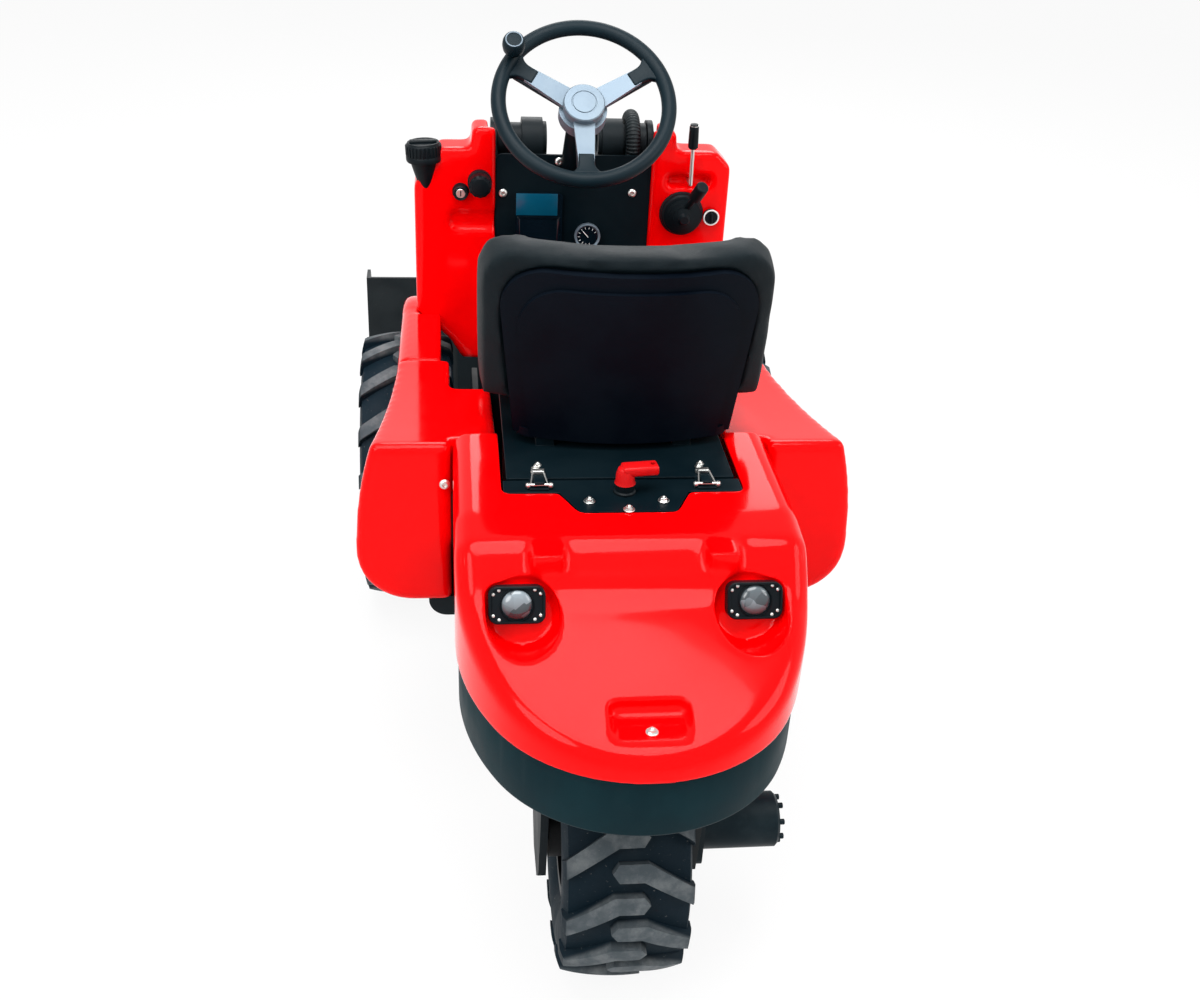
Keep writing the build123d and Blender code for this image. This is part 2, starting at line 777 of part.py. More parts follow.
def side_box():
    """A bulged side box that sinks and narrows towards the front, with its shoulder beside the lid."""
    mid_z = (box_rear_top_z + box_front_top_z) / 2
    # station, top, half width at the top, half width at the bulge, lower corner
    sections = (
        (box_rear_y, box_rear_top_z, box_top_x, box_bulge_x, box_rear_corner),
        (box_mid_y, mid_z, (box_top_x + box_front_x) / 2 - run_gap, (box_bulge_x + box_front_x) / 2,
         (box_rear_corner + box_front_corner) / 2),
        (box_front_y, box_front_top_z, box_front_x - run_gap, box_front_x + run_gap, box_front_corner),
    )
    body = loft([box_section(*row) for row in sections])
    body = fillet(body.faces().sort_by(Axis.Y)[0].edges().filter_by(GeomType.LINE, reverse=True), box_round)
    slope = (box_rear_top_z - mid_z) / (box_mid_y - box_rear_y)
    outline = []
    for y in (cowl_front_y + seat_gap, riser_y - thin_plate - seat_gap):
        outline.append((y, box_rear_top_z - slope * (y - box_rear_y)))
    for y, z in reversed(outline[:2]):
        outline.append((y, z - shoulder_depth))
    return body + side_prism(outline, shoulder_x, box_inner_x)


def guard_blank():
    """The block of a front mudguard: flat to the axle, then round over the wheel."""
    crown = front_tyre_radius + arch_gap + guard_depth
    crown_top = front_tyre_radius + crown
    outline = [
        (box_front_y, guard_foot_z), (box_front_y, box_front_top_z), (front_axle_y, crown_top),
        (front_axle_y, guard_foot_z),
    ]
    nose_y = front_axle_y + crown * math.sin(math.radians(guard_sweep))
    nose = across(front_axle_y, front_tyre_radius, crown, guard_inner_x, guard_outer_x)
    nose = nose & slab(guard_inner_x, guard_outer_x, front_axle_y, nose_y, guard_foot_z, crown_top)
    return side_prism(outline, guard_inner_x, guard_outer_x) + nose


def console_slope(x):
    """Height of the console's sloping lower corner at one x."""
    share = (x - console_heel_x) / (console_half_width - console_heel_x)
    return console_heel_z + share * (console_knee_z - console_heel_z)


def mudguard():
    """A front mudguard, sloped inside to follow the console's lower corner."""
    block = guard_blank()
    outer = [e for e in block.edges() if e.center().X > guard_outer_x - 1 and e.center().Z > guard_foot_z + 1]
    top = [e for e in outer if abs((e % 0.5).Z) < 0.9]
    block = fillet(top, guard_round)
    corner = [
        (guard_inner_x - plate, console_slope(guard_inner_x - plate) - guard_gap),
        (guard_outer_x, console_slope(guard_outer_x) - guard_gap),
        (guard_inner_x - plate, console_slope(guard_outer_x) - guard_gap),
    ]
    block = block - front_prism(corner, console_y - guard_gap, front_axle_y * 2)
    arch = across(front_axle_y, front_tyre_radius, front_tyre_radius + arch_gap, 0, guard_outer_x * 2)
    return block - arch


# Dash and consoles
def dash_panel():
    """The black middle panel between the consoles, seated on the toe board."""
    panel = slab(-dash_half_width, dash_half_width, dash_y, dash_y + thin_plate, toe_top_z, dash_top_z)
    corner = panel.edges().filter_by(Axis.Y).sort_by(Axis.Z)[-2:]
    return fillet(corner, console_round)


def console(side, corner):
    """A red console beside the dash: ear, top, cut outer corner, side and sloping foot."""
    inner = dash_half_width + seat_gap
    ear_x = inner + ear_width
    cut, drop = corner
    outline = [
        (inner, dash_bottom_z), (console_foot_x, dash_bottom_z), (console_heel_x, console_heel_z),
        (console_half_width, console_knee_z), (console_half_width, console_top_z - drop),
        (console_half_width - cut, console_top_z), (ear_x, console_top_z), (ear_x, ear_top_z),
        (inner, ear_top_z),
    ]
    body = front_prism(outline, console_y, console_y + console_depth)
    turns = body.edges().filter_by(Axis.Y)
    sharp = [e for e in turns if e.center().X > ear_x - 1 and e.center().Z > console_knee_z - 1]
    body = fillet(sharp, console_round)
    rear = body.faces().sort_by(Axis.Y)[0]
    rear_edges = [e for e in rear.edges() if e.center().X > inner + 1 and e.center().Z > dash_bottom_z + 1]
    body = fillet(rear_edges, console_round / 2)
    room_end = console_y + console_depth + 1
    tower_side = tower_outer_x + thin_plate + seat_gap
    tower_room = slab(0, tower_side, tower_rear_y - thin_plate, room_end, 0, ear_top_z * 2)
    body = body - tower_room
    if side < 0:
        pocket = slab(inner - 1, pocket_x, console_y - 1, console_y + pocket_depth,
                      pocket_bottom_z, pocket_top_z)
        pocket = fillet(pocket.edges().filter_by(Axis.Y).sort_by(Axis.X)[-2:], pocket_depth)
        return mirror(body - pocket, about=Plane.YZ)
    half = slot_width / 2
    slot = slab(slot_x - half, slot_x + half, console_y - 1, console_y + slot_depth,
                slot_z - slot_height / 2, slot_z + slot_height / 2)
    return body - fillet(slot.edges().filter_by(Axis.Y), slot_height / 3)


def filler(left_console):
    """Fuel filler: a tapered neck out of the left console's cut corner, and its cap."""
    lean = math.radians(neck_lean)
    up = Vector(-math.sin(lean), 0, math.cos(lean))
    foot = Vector(-neck_x, console_y + neck_back, neck_z)
    neck_end = foot + up * neck_rise
    cap_end = neck_end + up * cap_height
    stand = Plane(origin=foot, z_dir=up)
    low = (Align.CENTER, Align.CENTER, Align.MIN)
    neck = stand * Cone(neck_foot_radius, neck_radius, neck_rise, align=low) - left_console
    neck = neck.solids().sort_by(SortBy.VOLUME)[-1]
    cap = bar(tuple(neck_end), tuple(cap_end), cap_radius) - left_console
    return neck + fillet(cap.edges().sort_by(Axis.Z)[-1], rim_wall)


def console_knobs():
    """Key switch and fluted knob on the left console, and the round knob on the right."""
    knobs = []
    for x, z, radius, reach in (key_switch, fluted_knob, ringed_knob):
        knob = bar((x, console_y - reach, z), (x, console_y, z), radius)
        knobs.append(chamfer(knob.edges().sort_by(Axis.Y)[0], radius / 6))
    return Compound(children=knobs)


def joystick():
    """Loader joystick on its round boot."""
    face = Vector(boot_x, console_y, boot_z)
    boot = bar((boot_x, console_y - boot_height, boot_z), tuple(face), boot_radius)
    boot = fillet(boot.edges().sort_by(Axis.Y)[0], boot_height / 2)
    top = face + Vector(0, -boot_height, 0) + Vector(*stick_reach)
    stick = bar((boot_x, console_y - boot_height / 2, boot_z), tuple(top), stick_radius)
    grip_end = top + Vector(*stick_reach).normalized() * grip_radius * 3
    grip = bar(tuple(top), tuple(grip_end), grip_radius)
    grip_rim = grip.edges().filter_by(GeomType.CIRCLE).sort_by(Axis.Z)[-1]
    return boot + stick + fillet(grip_rim, grip_radius / 3)


def hand_lever():
    """Thin lever with a grip, out of the right console's slot."""
    root = Vector(slot_x, console_y + slot_depth - seat_gap, slot_z)
    knee = Vector(slot_x, console_y - lever_out, slot_z)
    top = knee + Vector(*lever_rise)
    rod = bar(tuple(root), tuple(knee), lever_radius) + bar(tuple(knee), tuple(top), lever_radius)
    rod = rod + Pos(*tuple(knee)) * Sphere(lever_radius)
    grip_end = top + Vector(*lever_rise).normalized() * lever_grip * 5
    return rod + bar(tuple(top), tuple(grip_end), lever_grip)


def dash_instruments():
    """Display and round gauge on the dash."""
    half = display_width / 2
    rear = dash_y - display_depth
    display = slab(display_x - half, display_x + half, rear, dash_y,
                   display_z - display_height / 2, display_z + display_height / 2)
    display = fillet(display.edges().filter_by(Axis.Y), thin_plate)
    gauge = bar((gauge_x, rear, gauge_z), (gauge_x, dash_y, gauge_z), gauge_radius)
    return Compound(children=[display, gauge])


# Steering wheel
def wheel_plane(height):
    """The steering wheel's plane, at a height above the rim's middle along its axis."""
    lean = math.radians(wheel_lean)
    axis = Vector(0, -math.cos(lean), math.sin(lean))
    return Plane(origin=Vector(0, wheel_y, wheel_z) + axis * height, x_dir=(1, 0, 0), z_dir=axis)


def steering_wheel():
    """Ring, hub with three spokes and shaft, and the spinner knob."""
    ring = wheel_plane(0) * Torus(rim_ring_radius, rim_ring_section)
    room = wheel_plane(0) * Torus(rim_ring_radius, rim_ring_section + seat_gap)
    save("steering_ring", ring)
    cap = wheel_plane(-hub_cap_height) * extrude(Circle(hub_cap_radius), amount=hub_cap_height)
    cap = chamfer(cap.edges().sort_by(Axis.Z)[-1], rim_wall / 2)
    spider = cap + wheel_plane(-hub_depth) * extrude(Circle(hub_base_radius), amount=hub_base_height)
    drop = math.degrees(math.atan2(wheel_dish, rim_ring_radius))
    reach = math.hypot(rim_ring_radius, wheel_dish)
    for angle in spoke_angles:
        root = hub_cap_radius / 2
        outline = Polyline((root, -spoke_root / 2), (reach, -spoke_tip / 2), (reach, spoke_tip / 2),
                           (root, spoke_root / 2), close=True)
        flat = extrude(make_face(outline), amount=spoke_thickness / 2, both=True)
        spider = spider + wheel_plane(-wheel_dish) * Rot(0, 0, angle) * Rot(0, -drop, 0) * flat
    shaft = wheel_plane(-hub_depth - shaft_length) * extrude(Circle(shaft_radius), amount=shaft_length)
    save("steering_spokes", spider + shaft - room)
    post_foot = rim_ring_section
    post = Pos(rim_ring_radius, 0, post_foot - rim_wall) * extrude(Circle(spinner_post), amount=rim_wall * 3)
    knob_foot = post_foot + rim_wall * 2
    knob = Pos(rim_ring_radius, 0, knob_foot) * extrude(Circle(spinner_radius), amount=spinner_height)
    knob = fillet(knob.edges(), rim_wall * 1.5)
    save("spinner_knob", wheel_plane(0) * Rot(0, 0, spinner_angle) * (post + knob) - room)


def steering_column():
    """Column from under the hub to the dash, bored for the wheel's shaft."""
    top = hub_depth + thin_plate
    tube = wheel_plane(-top - column_length) * extrude(Circle(column_radius), amount=column_length)
    bore_top = hub_depth + shaft_length + thin_plate
    bore = wheel_plane(-bore_top) * extrude(Circle(shaft_radius + pin_gap), amount=bore_top)
    collar_end = top + shaft_length / 2
    collar = wheel_plane(-collar_end) * extrude(Circle(column_radius + rim_wall), amount=shaft_length / 2)
    behind = slab(-column_length, column_length, 0, dash_y, 0, wheel_z * 2)
    return (tube + collar - bore) & behind


# Seat, lid and deck
def deck_strip():
    """Fixed black strip behind the lid, with its tongue."""
    strip = deck_opening(seat_gap, lid_rear_y - run_gap)
    band = slab(-stern_half_width, stern_half_width, 0, cowl_front_y, lid_top_z - lid_plate, lid_top_z)
    return strip & band


def isolator_key():
    """Battery isolator: round base and a turned key."""
    stem_z = lid_top_z + key_base_height
    handle_z = stem_z + key_stem_height
    base = bar((0, bay_rear_y, lid_top_z), (0, bay_rear_y, stem_z), key_base_radius)
    stem = bar((0, bay_rear_y, stem_z), (0, bay_rear_y, handle_z), key_stem_radius)
    handle = slab(-key_tail, key_reach, bay_rear_y - key_half_width, bay_rear_y + key_half_width,
                  handle_z, handle_z + key_thickness)
    return base + stem + fillet(handle.edges().filter_by(Axis.Z), key_half_width * 0.8)


def lid_latches():
    """Two toggle latches on the strip, reaching to the lid's edge."""
    y1 = lid_rear_y - run_gap
    y0 = y1 - latch_length
    lever_z = lid_top_z + latch_base
    base = slab(latch_x - latch_half_width, latch_x + latch_half_width, y0, y1, lid_top_z, lever_z)
    lever = slab(latch_x - latch_lever_half, latch_x + latch_lever_half, y0, y0 + latch_lever_length,
                 lever_z, lever_z + latch_lever_height)
    upper = lever.edges().filter_by(Axis.X).sort_by(Axis.Z)[-2:]
    return pair(base + fillet(upper, latch_lever_height / 3))


def seat_lid():
    """Black lid that carries the seat and tips forward on two knuckles."""
    deck = slab(-lid_half_width, lid_half_width, lid_rear_y, lid_front_y, lid_top_z - lid_plate, lid_top_z)
    inner = knuckle_length + seat_gap
    outer = inner + knuckle_length
    strap = slab(inner, outer, lid_front_y, hinge_y, hinge_z, hinge_z + knuckle_radius)
    tube = across(hinge_y, hinge_z, knuckle_radius, inner, outer)
    bore = across(hinge_y, hinge_z, hinge_pin + pin_gap, inner - 1, outer + 1)
    rail_y = lid_front_y - run_gap
    rail = slab(inner * 2, inner * 2 + seat_rail * 2, pan_rear_y, rail_y, lid_top_z, lid_top_z + seat_rail)
    return deck + both_sides(strap + tube - bore) + both_sides(rail)


def back_band(inset, thickness, foot_half, head_half, z0, z1):
    """A bent upright band of the seat back between two heights, with round upper corners."""
    radius = back_radius - inset
    middle = back_rear_y + back_radius
    ring = bar((0, middle, z0), (0, middle, z1), radius)
    ring = ring - bar((0, middle, z0 - 1), (0, middle, z1 + 1), radius - thickness)
    outline = [(-foot_half, z0), (foot_half, z0), (head_half, z1), (-head_half, z1)]
    block = front_prism(outline, back_rear_y - back_corner * 2, middle)
    corners = block.edges().filter_by(Axis.Y).sort_by(Axis.Z)[-2:]
    band = ring & fillet(corners, back_corner)
    hinge = Pos(0, back_rear_y, lid_top_z) * Rot(back_lean, 0, 0) * Pos(0, -back_rear_y, -lid_top_z)
    return Pos(seat_x, 0, 0) * hinge * band


def seat():
    """Shell with pan and raised rear panel, and the plain solids of its two cushions."""
    pan_z = lid_top_z + seat_rail
    pan = slab(-pan_half_width, pan_half_width, pan_rear_y, pan_front_y, pan_z, pan_z + pan_height)
    pan = Pos(seat_x, 0, 0) * fillet(pan.edges().filter_by(Axis.Z), back_corner / 2)
    shell_foot = back_foot_half_width
    shell_head = back_half_width - back_rim
    shell_top = back_top_z - back_rim
    shell = back_band(0, back_shell, shell_foot, shell_head, pan_z, shell_top)
    panel = back_band(-back_panel, back_panel + 1, shell_foot - back_panel_margin,
                      shell_head - back_panel_margin, pan_z, shell_top - back_panel_margin)
    save("seat_shell", shell + panel + pan)
    room = back_band(-back_panel, back_panel + back_shell + seat_gap, shell_foot + seat_gap,
                     shell_head + seat_gap, pan_z, shell_top + seat_gap)
    pad = back_band(back_rim_set, back_shell + back_cushion - back_rim_set, wing_half_width, back_half_width,
                    wing_z, back_top_z)
    save("seat_back_cushion", pad - room)
    cushion_z = pan_z + pan_height
    cushion_top = cushion_z + cushion_height
    seat_y = back_rear_y + back_shell + back_cushion / 2
    base = slab(-cushion_half_width, cushion_half_width, seat_y, pan_front_y + rim_lip,
                cushion_z, cushion_top)
    base = fillet(base.edges().filter_by(Axis.Z).sort_by(Axis.Y)[-2:], back_corner)
    bolster = slab(cushion_half_width - bolster_width, cushion_half_width + rim_lip, seat_y,
                   seat_y + bolster_length, cushion_z, cushion_z + bolster_height)
    base = Pos(seat_x, 0, 0) * (base + both_sides(bolster))
    wide = back_half_width + back_corner
    behind = back_band(-back_corner, back_corner + back_shell + back_cushion + rim_lip, wide, wide,
                       lid_top_z, back_top_z)
    save("seat_base_cushion", base - behind)


# Boom and cylinders
def boom():
    """Two tapered arms on pivot sleeves, with cross tubes and the lugs of both cylinders."""
    root = arm_root_half
    tip = arm_tip_half
    outline = [on_boom(0, -root), on_boom(boom_length, -tip), on_boom(boom_length, tip), on_boom(0, root)]
    arm = side_prism(outline, arm_inner_x, arm_outer_x)
    arm = arm + across(pivot_y, pivot_z, root, arm_inner_x, arm_outer_x)
    arm = arm + across(bucket_pin_y, bucket_pin_z, tip, arm_inner_x, arm_outer_x)
    sleeve = across(pivot_y, pivot_z, sleeve_radius, sleeve_inner_x, sleeve_outer_x)
    for x in (sleeve_inner_x, sleeve_outer_x - collar_width):
        sleeve = sleeve + across(pivot_y, pivot_z, sleeve_radius + collar_rise, x, x + collar_width)
    block_s = hose_run - hose_block
    block_t = hose_bend + hose_radius
    block_outline = [on_boom(block_s, -root / 2), on_boom(hose_run, -root / 2), on_boom(hose_run, block_t),
                     on_boom(block_s, block_t)]
    lift_lug = lug_between(lift_eye_s, 0, lift_eye_s, lift_tube_t)
    tilt_lug = lug_between(tilt_base_s, tilt_base_t, tilt_base_s, tilt_tube_t)
    half = both_sides(arm + sleeve + lift_lug + tilt_lug)
    half = half + side_prism(block_outline, arm_outer_x, hose_x + hose_radius)
    for s, t in ((lift_eye_s, lift_tube_t), (tilt_base_s, tilt_tube_t)):
        half = half + across(*on_boom(s, t), cross_radius, -arm_inner_x, arm_inner_x)
    half = half + across(*on_boom(tilt_base_s, tilt_base_t), cylinder_pin, -lug_outer_x, lug_outer_x)
    bores = across(pivot_y, pivot_z, pivot_pin + pin_gap, -sleeve_outer_x - 1, sleeve_outer_x + 1)
    bores = bores + across(bucket_pin_y, bucket_pin_z, bucket_pin + pin_gap, -sleeve_outer_x, sleeve_outer_x)
    return half - bores


def lug_between(s0, t0, s1, t1):
    """One cylinder lug from its pin at (s0, t0) to the cross tube at (s1, t1)."""
    step = lug_radius if t1 > t0 else -lug_radius
    outline = [on_boom(s0 - lug_radius, t0), on_boom(s0 + lug_radius, t0), on_boom(s1 + lug_radius, t1),
               on_boom(s1 - lug_radius, t1)]
    if step < 0:
        outline.reverse()
    lug = side_prism(outline, lug_inner_x, lug_outer_x)
    return lug + across(*on_boom(s0, t0), lug_radius, lug_inner_x, lug_outer_x)


def boom_hose():
    """Fat hose that bends over the right pivot sleeve and runs down beside the arm to its block."""
    front = math.degrees(boom_angle) + 90
    end_s = hose_run - hose_block
    start = hose_rear_angle
    center = Plane(origin=(hose_x, pivot_y, pivot_z), x_dir=(0, 1, 0), z_dir=(1, 0, 0))
    bend = center * CenterArc((0, 0), hose_bend, front, start - front)
    mouth = bend @ 1
    section = Plane(origin=mouth, z_dir=bend % 1) * Circle(hose_radius)
    arc = revolve(section, Axis((hose_x, pivot_y, pivot_z), (1, 0, 0)), -(start - front))
    run_start = (hose_x, *on_boom(0, hose_bend))
    run_end = (hose_x, *on_boom(end_s, hose_bend))
    return arc + bar(run_start, run_end, hose_radius)


def cylinder(base, eye, barrel_radius, rod_radius, barrel_end, rod_length, draw, names):
    """A barrel and a rod between two pins, each with an eye across X."""
    run = (Vector(0, *eye) - Vector(0, *base))
    way = run.normalized()
    foot = Vector(0, *base)
    head = Vector(0, *eye)
    barrel = bar(tuple(foot + way * eye_radius / 2), tuple(foot + way * barrel_end), barrel_radius)
    rod_end = head - way * rod_length
    bore_end = rod_end - way * (draw + rim_lip)
    bore = bar(tuple(bore_end), tuple(foot + way * (barrel_end + 1)), rod_radius + pin_gap)
    waist = slab(-barrel_radius, barrel_radius, -barrel_radius * 2, barrel_radius * 2,
                 -eye_radius, eye_radius * 1.3)
    turn = Plane(origin=foot, x_dir=(1, 0, 0), z_dir=way)
    barrel = barrel - turn * waist - bore
    neck = bar(tuple(foot), tuple(foot + way * eye_radius * 1.5), eye_half * 0.8) - bore
    barrel_eye = across(*base, eye_radius, -eye_half, eye_half)
    barrel_bore = across(*base, cylinder_pin + pin_gap, -eye_half - 1, eye_half + 1)
    save(names[0], barrel + neck + barrel_eye - barrel_bore)
    rod = bar(tuple(rod_end), tuple(head), rod_radius)
    rod_eye = across(*eye, eye_radius, -eye_half, eye_half)
    save(names[1], rod + rod_eye)


def lift_cylinder():
    """Upright cylinder from the tower's cross beam to the boom."""
    base = (lift_base_y, lift_base_z)
    cylinder(base, on_boom(lift_eye_s, 0), lift_barrel, lift_rod, lift_barrel_end, lift_rod_length,
             lift_draw, ("lift_barrel", "lift_rod"))


def tilt_cylinder():
    """Cylinder from the boom to the top of the hitch plate."""
    eye = (bucket_pin_y + tilt_eye_y, bucket_pin_z + tilt_eye_z)
    cylinder(on_boom(tilt_base_s, tilt_base_t), eye, tilt_barrel, tilt_rod, tilt_barrel_end, tilt_rod_length,
             tilt_draw, ("tilt_barrel", "tilt_rod"))


# Hitch and bucket
def hitch():
    """Hitch plate with ears beside both arms, their pins, and the tilt cylinder's lugs."""
    y0 = bucket_pin_y + hitch_y
    plate_body = slab(-hitch_half_width, hitch_half_width, y0, y0 + hitch_plate,
                      bucket_pin_z + hitch_bottom, bucket_pin_z + hitch_top)
    tip = arm_tip_half
    ear_outline = [
        (bucket_pin_y, bucket_pin_z - tip), (y0, bucket_pin_z + hitch_bottom),
        (y0, bucket_pin_z - hitch_bottom), (bucket_pin_y, bucket_pin_z + tip),
    ]
    ears = None
    for x in (arm_inner_x - ear_gap - ear_plate, arm_outer_x + ear_gap):
        ear = side_prism(ear_outline, x, x + ear_plate)
        ear = ear + across(bucket_pin_y, bucket_pin_z, tip, x, x + ear_plate)
        ears = ear if ears is None else ears + ear
    pin_x0 = arm_inner_x - ear_gap - ear_plate
    pin_x1 = arm_outer_x + ear_gap + ear_plate
    ears = ears + across(bucket_pin_y, bucket_pin_z, bucket_pin, pin_x0, pin_x1 + rim_wall)
    lug_y = bucket_pin_y + tilt_eye_y
    lug_z = bucket_pin_z + tilt_eye_z
    lug = slab(lug_inner_x, lug_outer_x, lug_y, y0, lug_z - lug_radius, lug_z + lug_radius)
    lug = lug + across(lug_y, lug_z, lug_radius, lug_inner_x, lug_outer_x)
    return plate_body + both_sides(ears + lug)


def bucket_face(inset):
    """Side outline of the bucket's sheet, or of its inside when set in by the sheet."""
    back = bucket_pin_y + hitch_y + hitch_plate + inset
    floor = bucket_pin_z + bucket_floor + inset
    top = bucket_pin_z + bucket_back_top
    bend = bucket_bend - inset
    front = bucket_front_y
    return back, floor, top, bend, front


def bucket():
    """Open bucket: bent sheet, two side plates and a cutting edge."""
    wide = bucket_half_width - bucket_sheet
    back, floor, top, bend, front = bucket_face(0)
    outer = sheet_blank(back, floor, top, bend, front, wide)
    back, floor, top, bend, front = bucket_face(bucket_sheet)
    inner = sheet_blank(back, floor, top + bucket_sheet, bend, front + bucket_sheet, wide + bucket_sheet)
    sheet = outer - inner
    back, floor, top, bend, front = bucket_face(0)
    cheek_front = front - edge_depth / 2
    cheek = side_prism([(back, floor), (cheek_front, floor), (cheek_front, floor + edge_depth),
                        (back + bucket_brow, top), (back, top)], wide, bucket_half_width)
    cheek = cheek & sheet_blank(back, floor, top, bend, front, bucket_half_width)
    edge_top = floor + edge_height
    edge = side_prism([(front - edge_depth, floor), (front, floor), (front - edge_height, edge_top),
                       (front - edge_depth, edge_top)], -bucket_half_width, bucket_half_width)
    return sheet + both_sides(cheek) + edge


def sheet_blank(back, floor, top, bend, front, half_width):
    """A solid bounded by the bucket's back, its rounded heel and its floor."""
    block = slab(-half_width, half_width, back, front, floor, top)
    heel = block.edges().filter_by(Axis.X).sort_by(Axis.Y)[:2].sort_by(Axis.Z)[0]
    return fillet(heel, bend)


os.makedirs("parts", exist_ok=True)
rear_wheel()
front_wheels()
hub_motors()
save("rear_fork", fork())
save("rear_motor", rear_motor())
save("counterweight", counterweight())
save("rear_cowl", cowl())
rear_lamps()
save("main_frame", main_frame())
save("side_trays", pair(side_tray()))
save("boom_tower", boom_tower())
save("floor_plate", floor_plate())
save("seat_riser", seat_riser())
save("engine_block", engine_block())
save("side_boxes", pair(side_box()))
save("mudguards", pair(mudguard()))
save("dash_panel", dash_panel())
left_console = console(-1, left_corner)
save("left_console", left_console)
save("right_console", console(1, right_corner))
save("fuel_filler", filler(left_console))
save("console_knobs", console_knobs())
save("joystick", joystick())
save("hand_lever", hand_lever())
save("dash_instruments", dash_instruments())
steering_wheel()
save("steering_column", steering_column())
save("deck_strip", deck_strip())
save("isolator_key", isolator_key())
save("lid_latches", lid_latches())
save("seat_lid", seat_lid())
seat()
save("boom_arms", boom())
save("boom_hose", boom_hose())
lift_cylinder()
tilt_cylinder()
save("hitch_plate", hitch())
save("bucket", bucket())
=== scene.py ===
import bpy
import json
import math
from mathutils import Matrix, Vector


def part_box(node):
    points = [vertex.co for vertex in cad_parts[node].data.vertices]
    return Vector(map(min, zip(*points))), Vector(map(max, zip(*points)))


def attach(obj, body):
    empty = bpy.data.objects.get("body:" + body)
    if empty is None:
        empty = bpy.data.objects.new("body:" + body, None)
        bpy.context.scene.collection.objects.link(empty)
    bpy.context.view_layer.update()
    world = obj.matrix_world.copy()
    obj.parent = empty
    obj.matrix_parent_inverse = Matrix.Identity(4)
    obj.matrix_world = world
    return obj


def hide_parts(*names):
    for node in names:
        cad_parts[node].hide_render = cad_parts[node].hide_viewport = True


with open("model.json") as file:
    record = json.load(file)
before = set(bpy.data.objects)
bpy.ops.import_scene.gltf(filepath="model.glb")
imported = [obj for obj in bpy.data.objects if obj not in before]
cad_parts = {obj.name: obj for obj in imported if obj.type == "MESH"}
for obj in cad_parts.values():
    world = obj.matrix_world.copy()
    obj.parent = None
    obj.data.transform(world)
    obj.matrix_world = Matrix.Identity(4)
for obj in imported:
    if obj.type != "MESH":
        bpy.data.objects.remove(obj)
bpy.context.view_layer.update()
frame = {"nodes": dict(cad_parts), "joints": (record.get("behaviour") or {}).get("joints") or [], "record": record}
nodes = frame["nodes"]
joints = {joint["name"]: joint for joint in frame["joints"]}
print("frame loaded:", len(nodes), "nodes")


# Small tools for working as by hand

def clearSelection():
    if bpy.context.object and bpy.context.object.mode != "OBJECT":
        bpy.ops.object.mode_set(mode="OBJECT")
    bpy.ops.object.select_all(action="DESELECT")


def pick(piece):                      # this piece alone is selected and active
    clearSelection()
    piece.select_set(True)
    bpy.context.view_layer.objects.active = piece


def editAll(piece):                   # edit mode with everything selected
    pick(piece)
    bpy.ops.object.mode_set(mode="EDIT")
    bpy.ops.mesh.select_all(action="SELECT")


def selectFaces(piece, wanted):       # edit mode with the wanted faces selected
    editAll(piece)
    bpy.ops.mesh.select_mode(type="FACE")
    bpy.ops.mesh.select_all(action="DESELECT")
    bpy.ops.object.mode_set(mode="OBJECT")
    for face in piece.data.polygons:
        face.select = wanted(face)
    bpy.ops.object.mode_set(mode="EDIT")


def applied(piece, kind, **values):   # one modifier, set and applied
    pick(piece)
    modifier = piece.modifiers.new(kind.title(), kind)
    for name, value in values.items():
        setattr(modifier, name, value)
    bpy.ops.object.modifier_apply(modifier=modifier.name)
    return piece


def outward(piece):
    editAll(piece)
    bpy.ops.mesh.remove_doubles(threshold=1e-5)
    bpy.ops.mesh.normals_make_consistent(inside=False)
    bpy.ops.object.mode_set(mode="OBJECT")
    return piece


def settled(piece):                   # place, turn and scale go into the mesh
    pick(piece)
    bpy.ops.object.transform_apply(location=True, rotation=True, scale=True)
    return piece


def smoothed(piece, angle=35):
    pick(piece)
    bpy.ops.object.shade_smooth_by_angle(angle=math.radians(angle))
    return piece


def moved(piece, matrix):
    piece.data.transform(matrix)
    piece.data.update()
    return piece


def copied(piece, matrix):            # a copy with its own mesh
    twin = piece.copy()
    twin.data = piece.data.copy()
    bpy.context.scene.collection.objects.link(twin)
    return moved(twin, matrix)


def joined(pieces):
    clearSelection()
    for piece in pieces:
        piece.select_set(True)
    bpy.context.view_layer.objects.active = pieces[0]
    if len(pieces) > 1:
        bpy.ops.object.join()
    return pieces[0]


def patterned(piece, matrices):       # copies at every place, as one piece, and the first is used up
    copies = [copied(piece, matrix) for matrix in matrices]
    bpy.data.objects.remove(piece)
    return joined(copies)


def seat(place, axis, turn=0.0):   # from a piece's own Z to a place on the machine
    way = Vector((0, 0, 1)).rotation_difference(Vector(axis)).to_matrix().to_4x4()
    return Matrix.Translation(Vector(place)) @ way @ Matrix.Rotation(turn, 4, "Z")


def turned(steps, segments=32):       # round form: a disc that is extruded and resized step by step
    clearSelection()
    radius, height = steps[0]
    bpy.ops.mesh.primitive_circle_add(vertices=segments, radius=radius, location=(0, 0, height),
                                      fill_type="NGON")
    piece = settled(bpy.context.object)
    editAll(piece)
    for nextRadius, nextHeight in steps[1:]:
        bpy.ops.mesh.extrude_region_move(TRANSFORM_OT_translate={"value": (0, 0, nextHeight - height)})
        share = nextRadius / radius
        bpy.ops.transform.resize(value=(share, share, 1), center_override=(0, 0, nextHeight))
        radius, height = nextRadius, nextHeight
    bpy.ops.object.mode_set(mode="OBJECT")
    return smoothed(outward(piece))


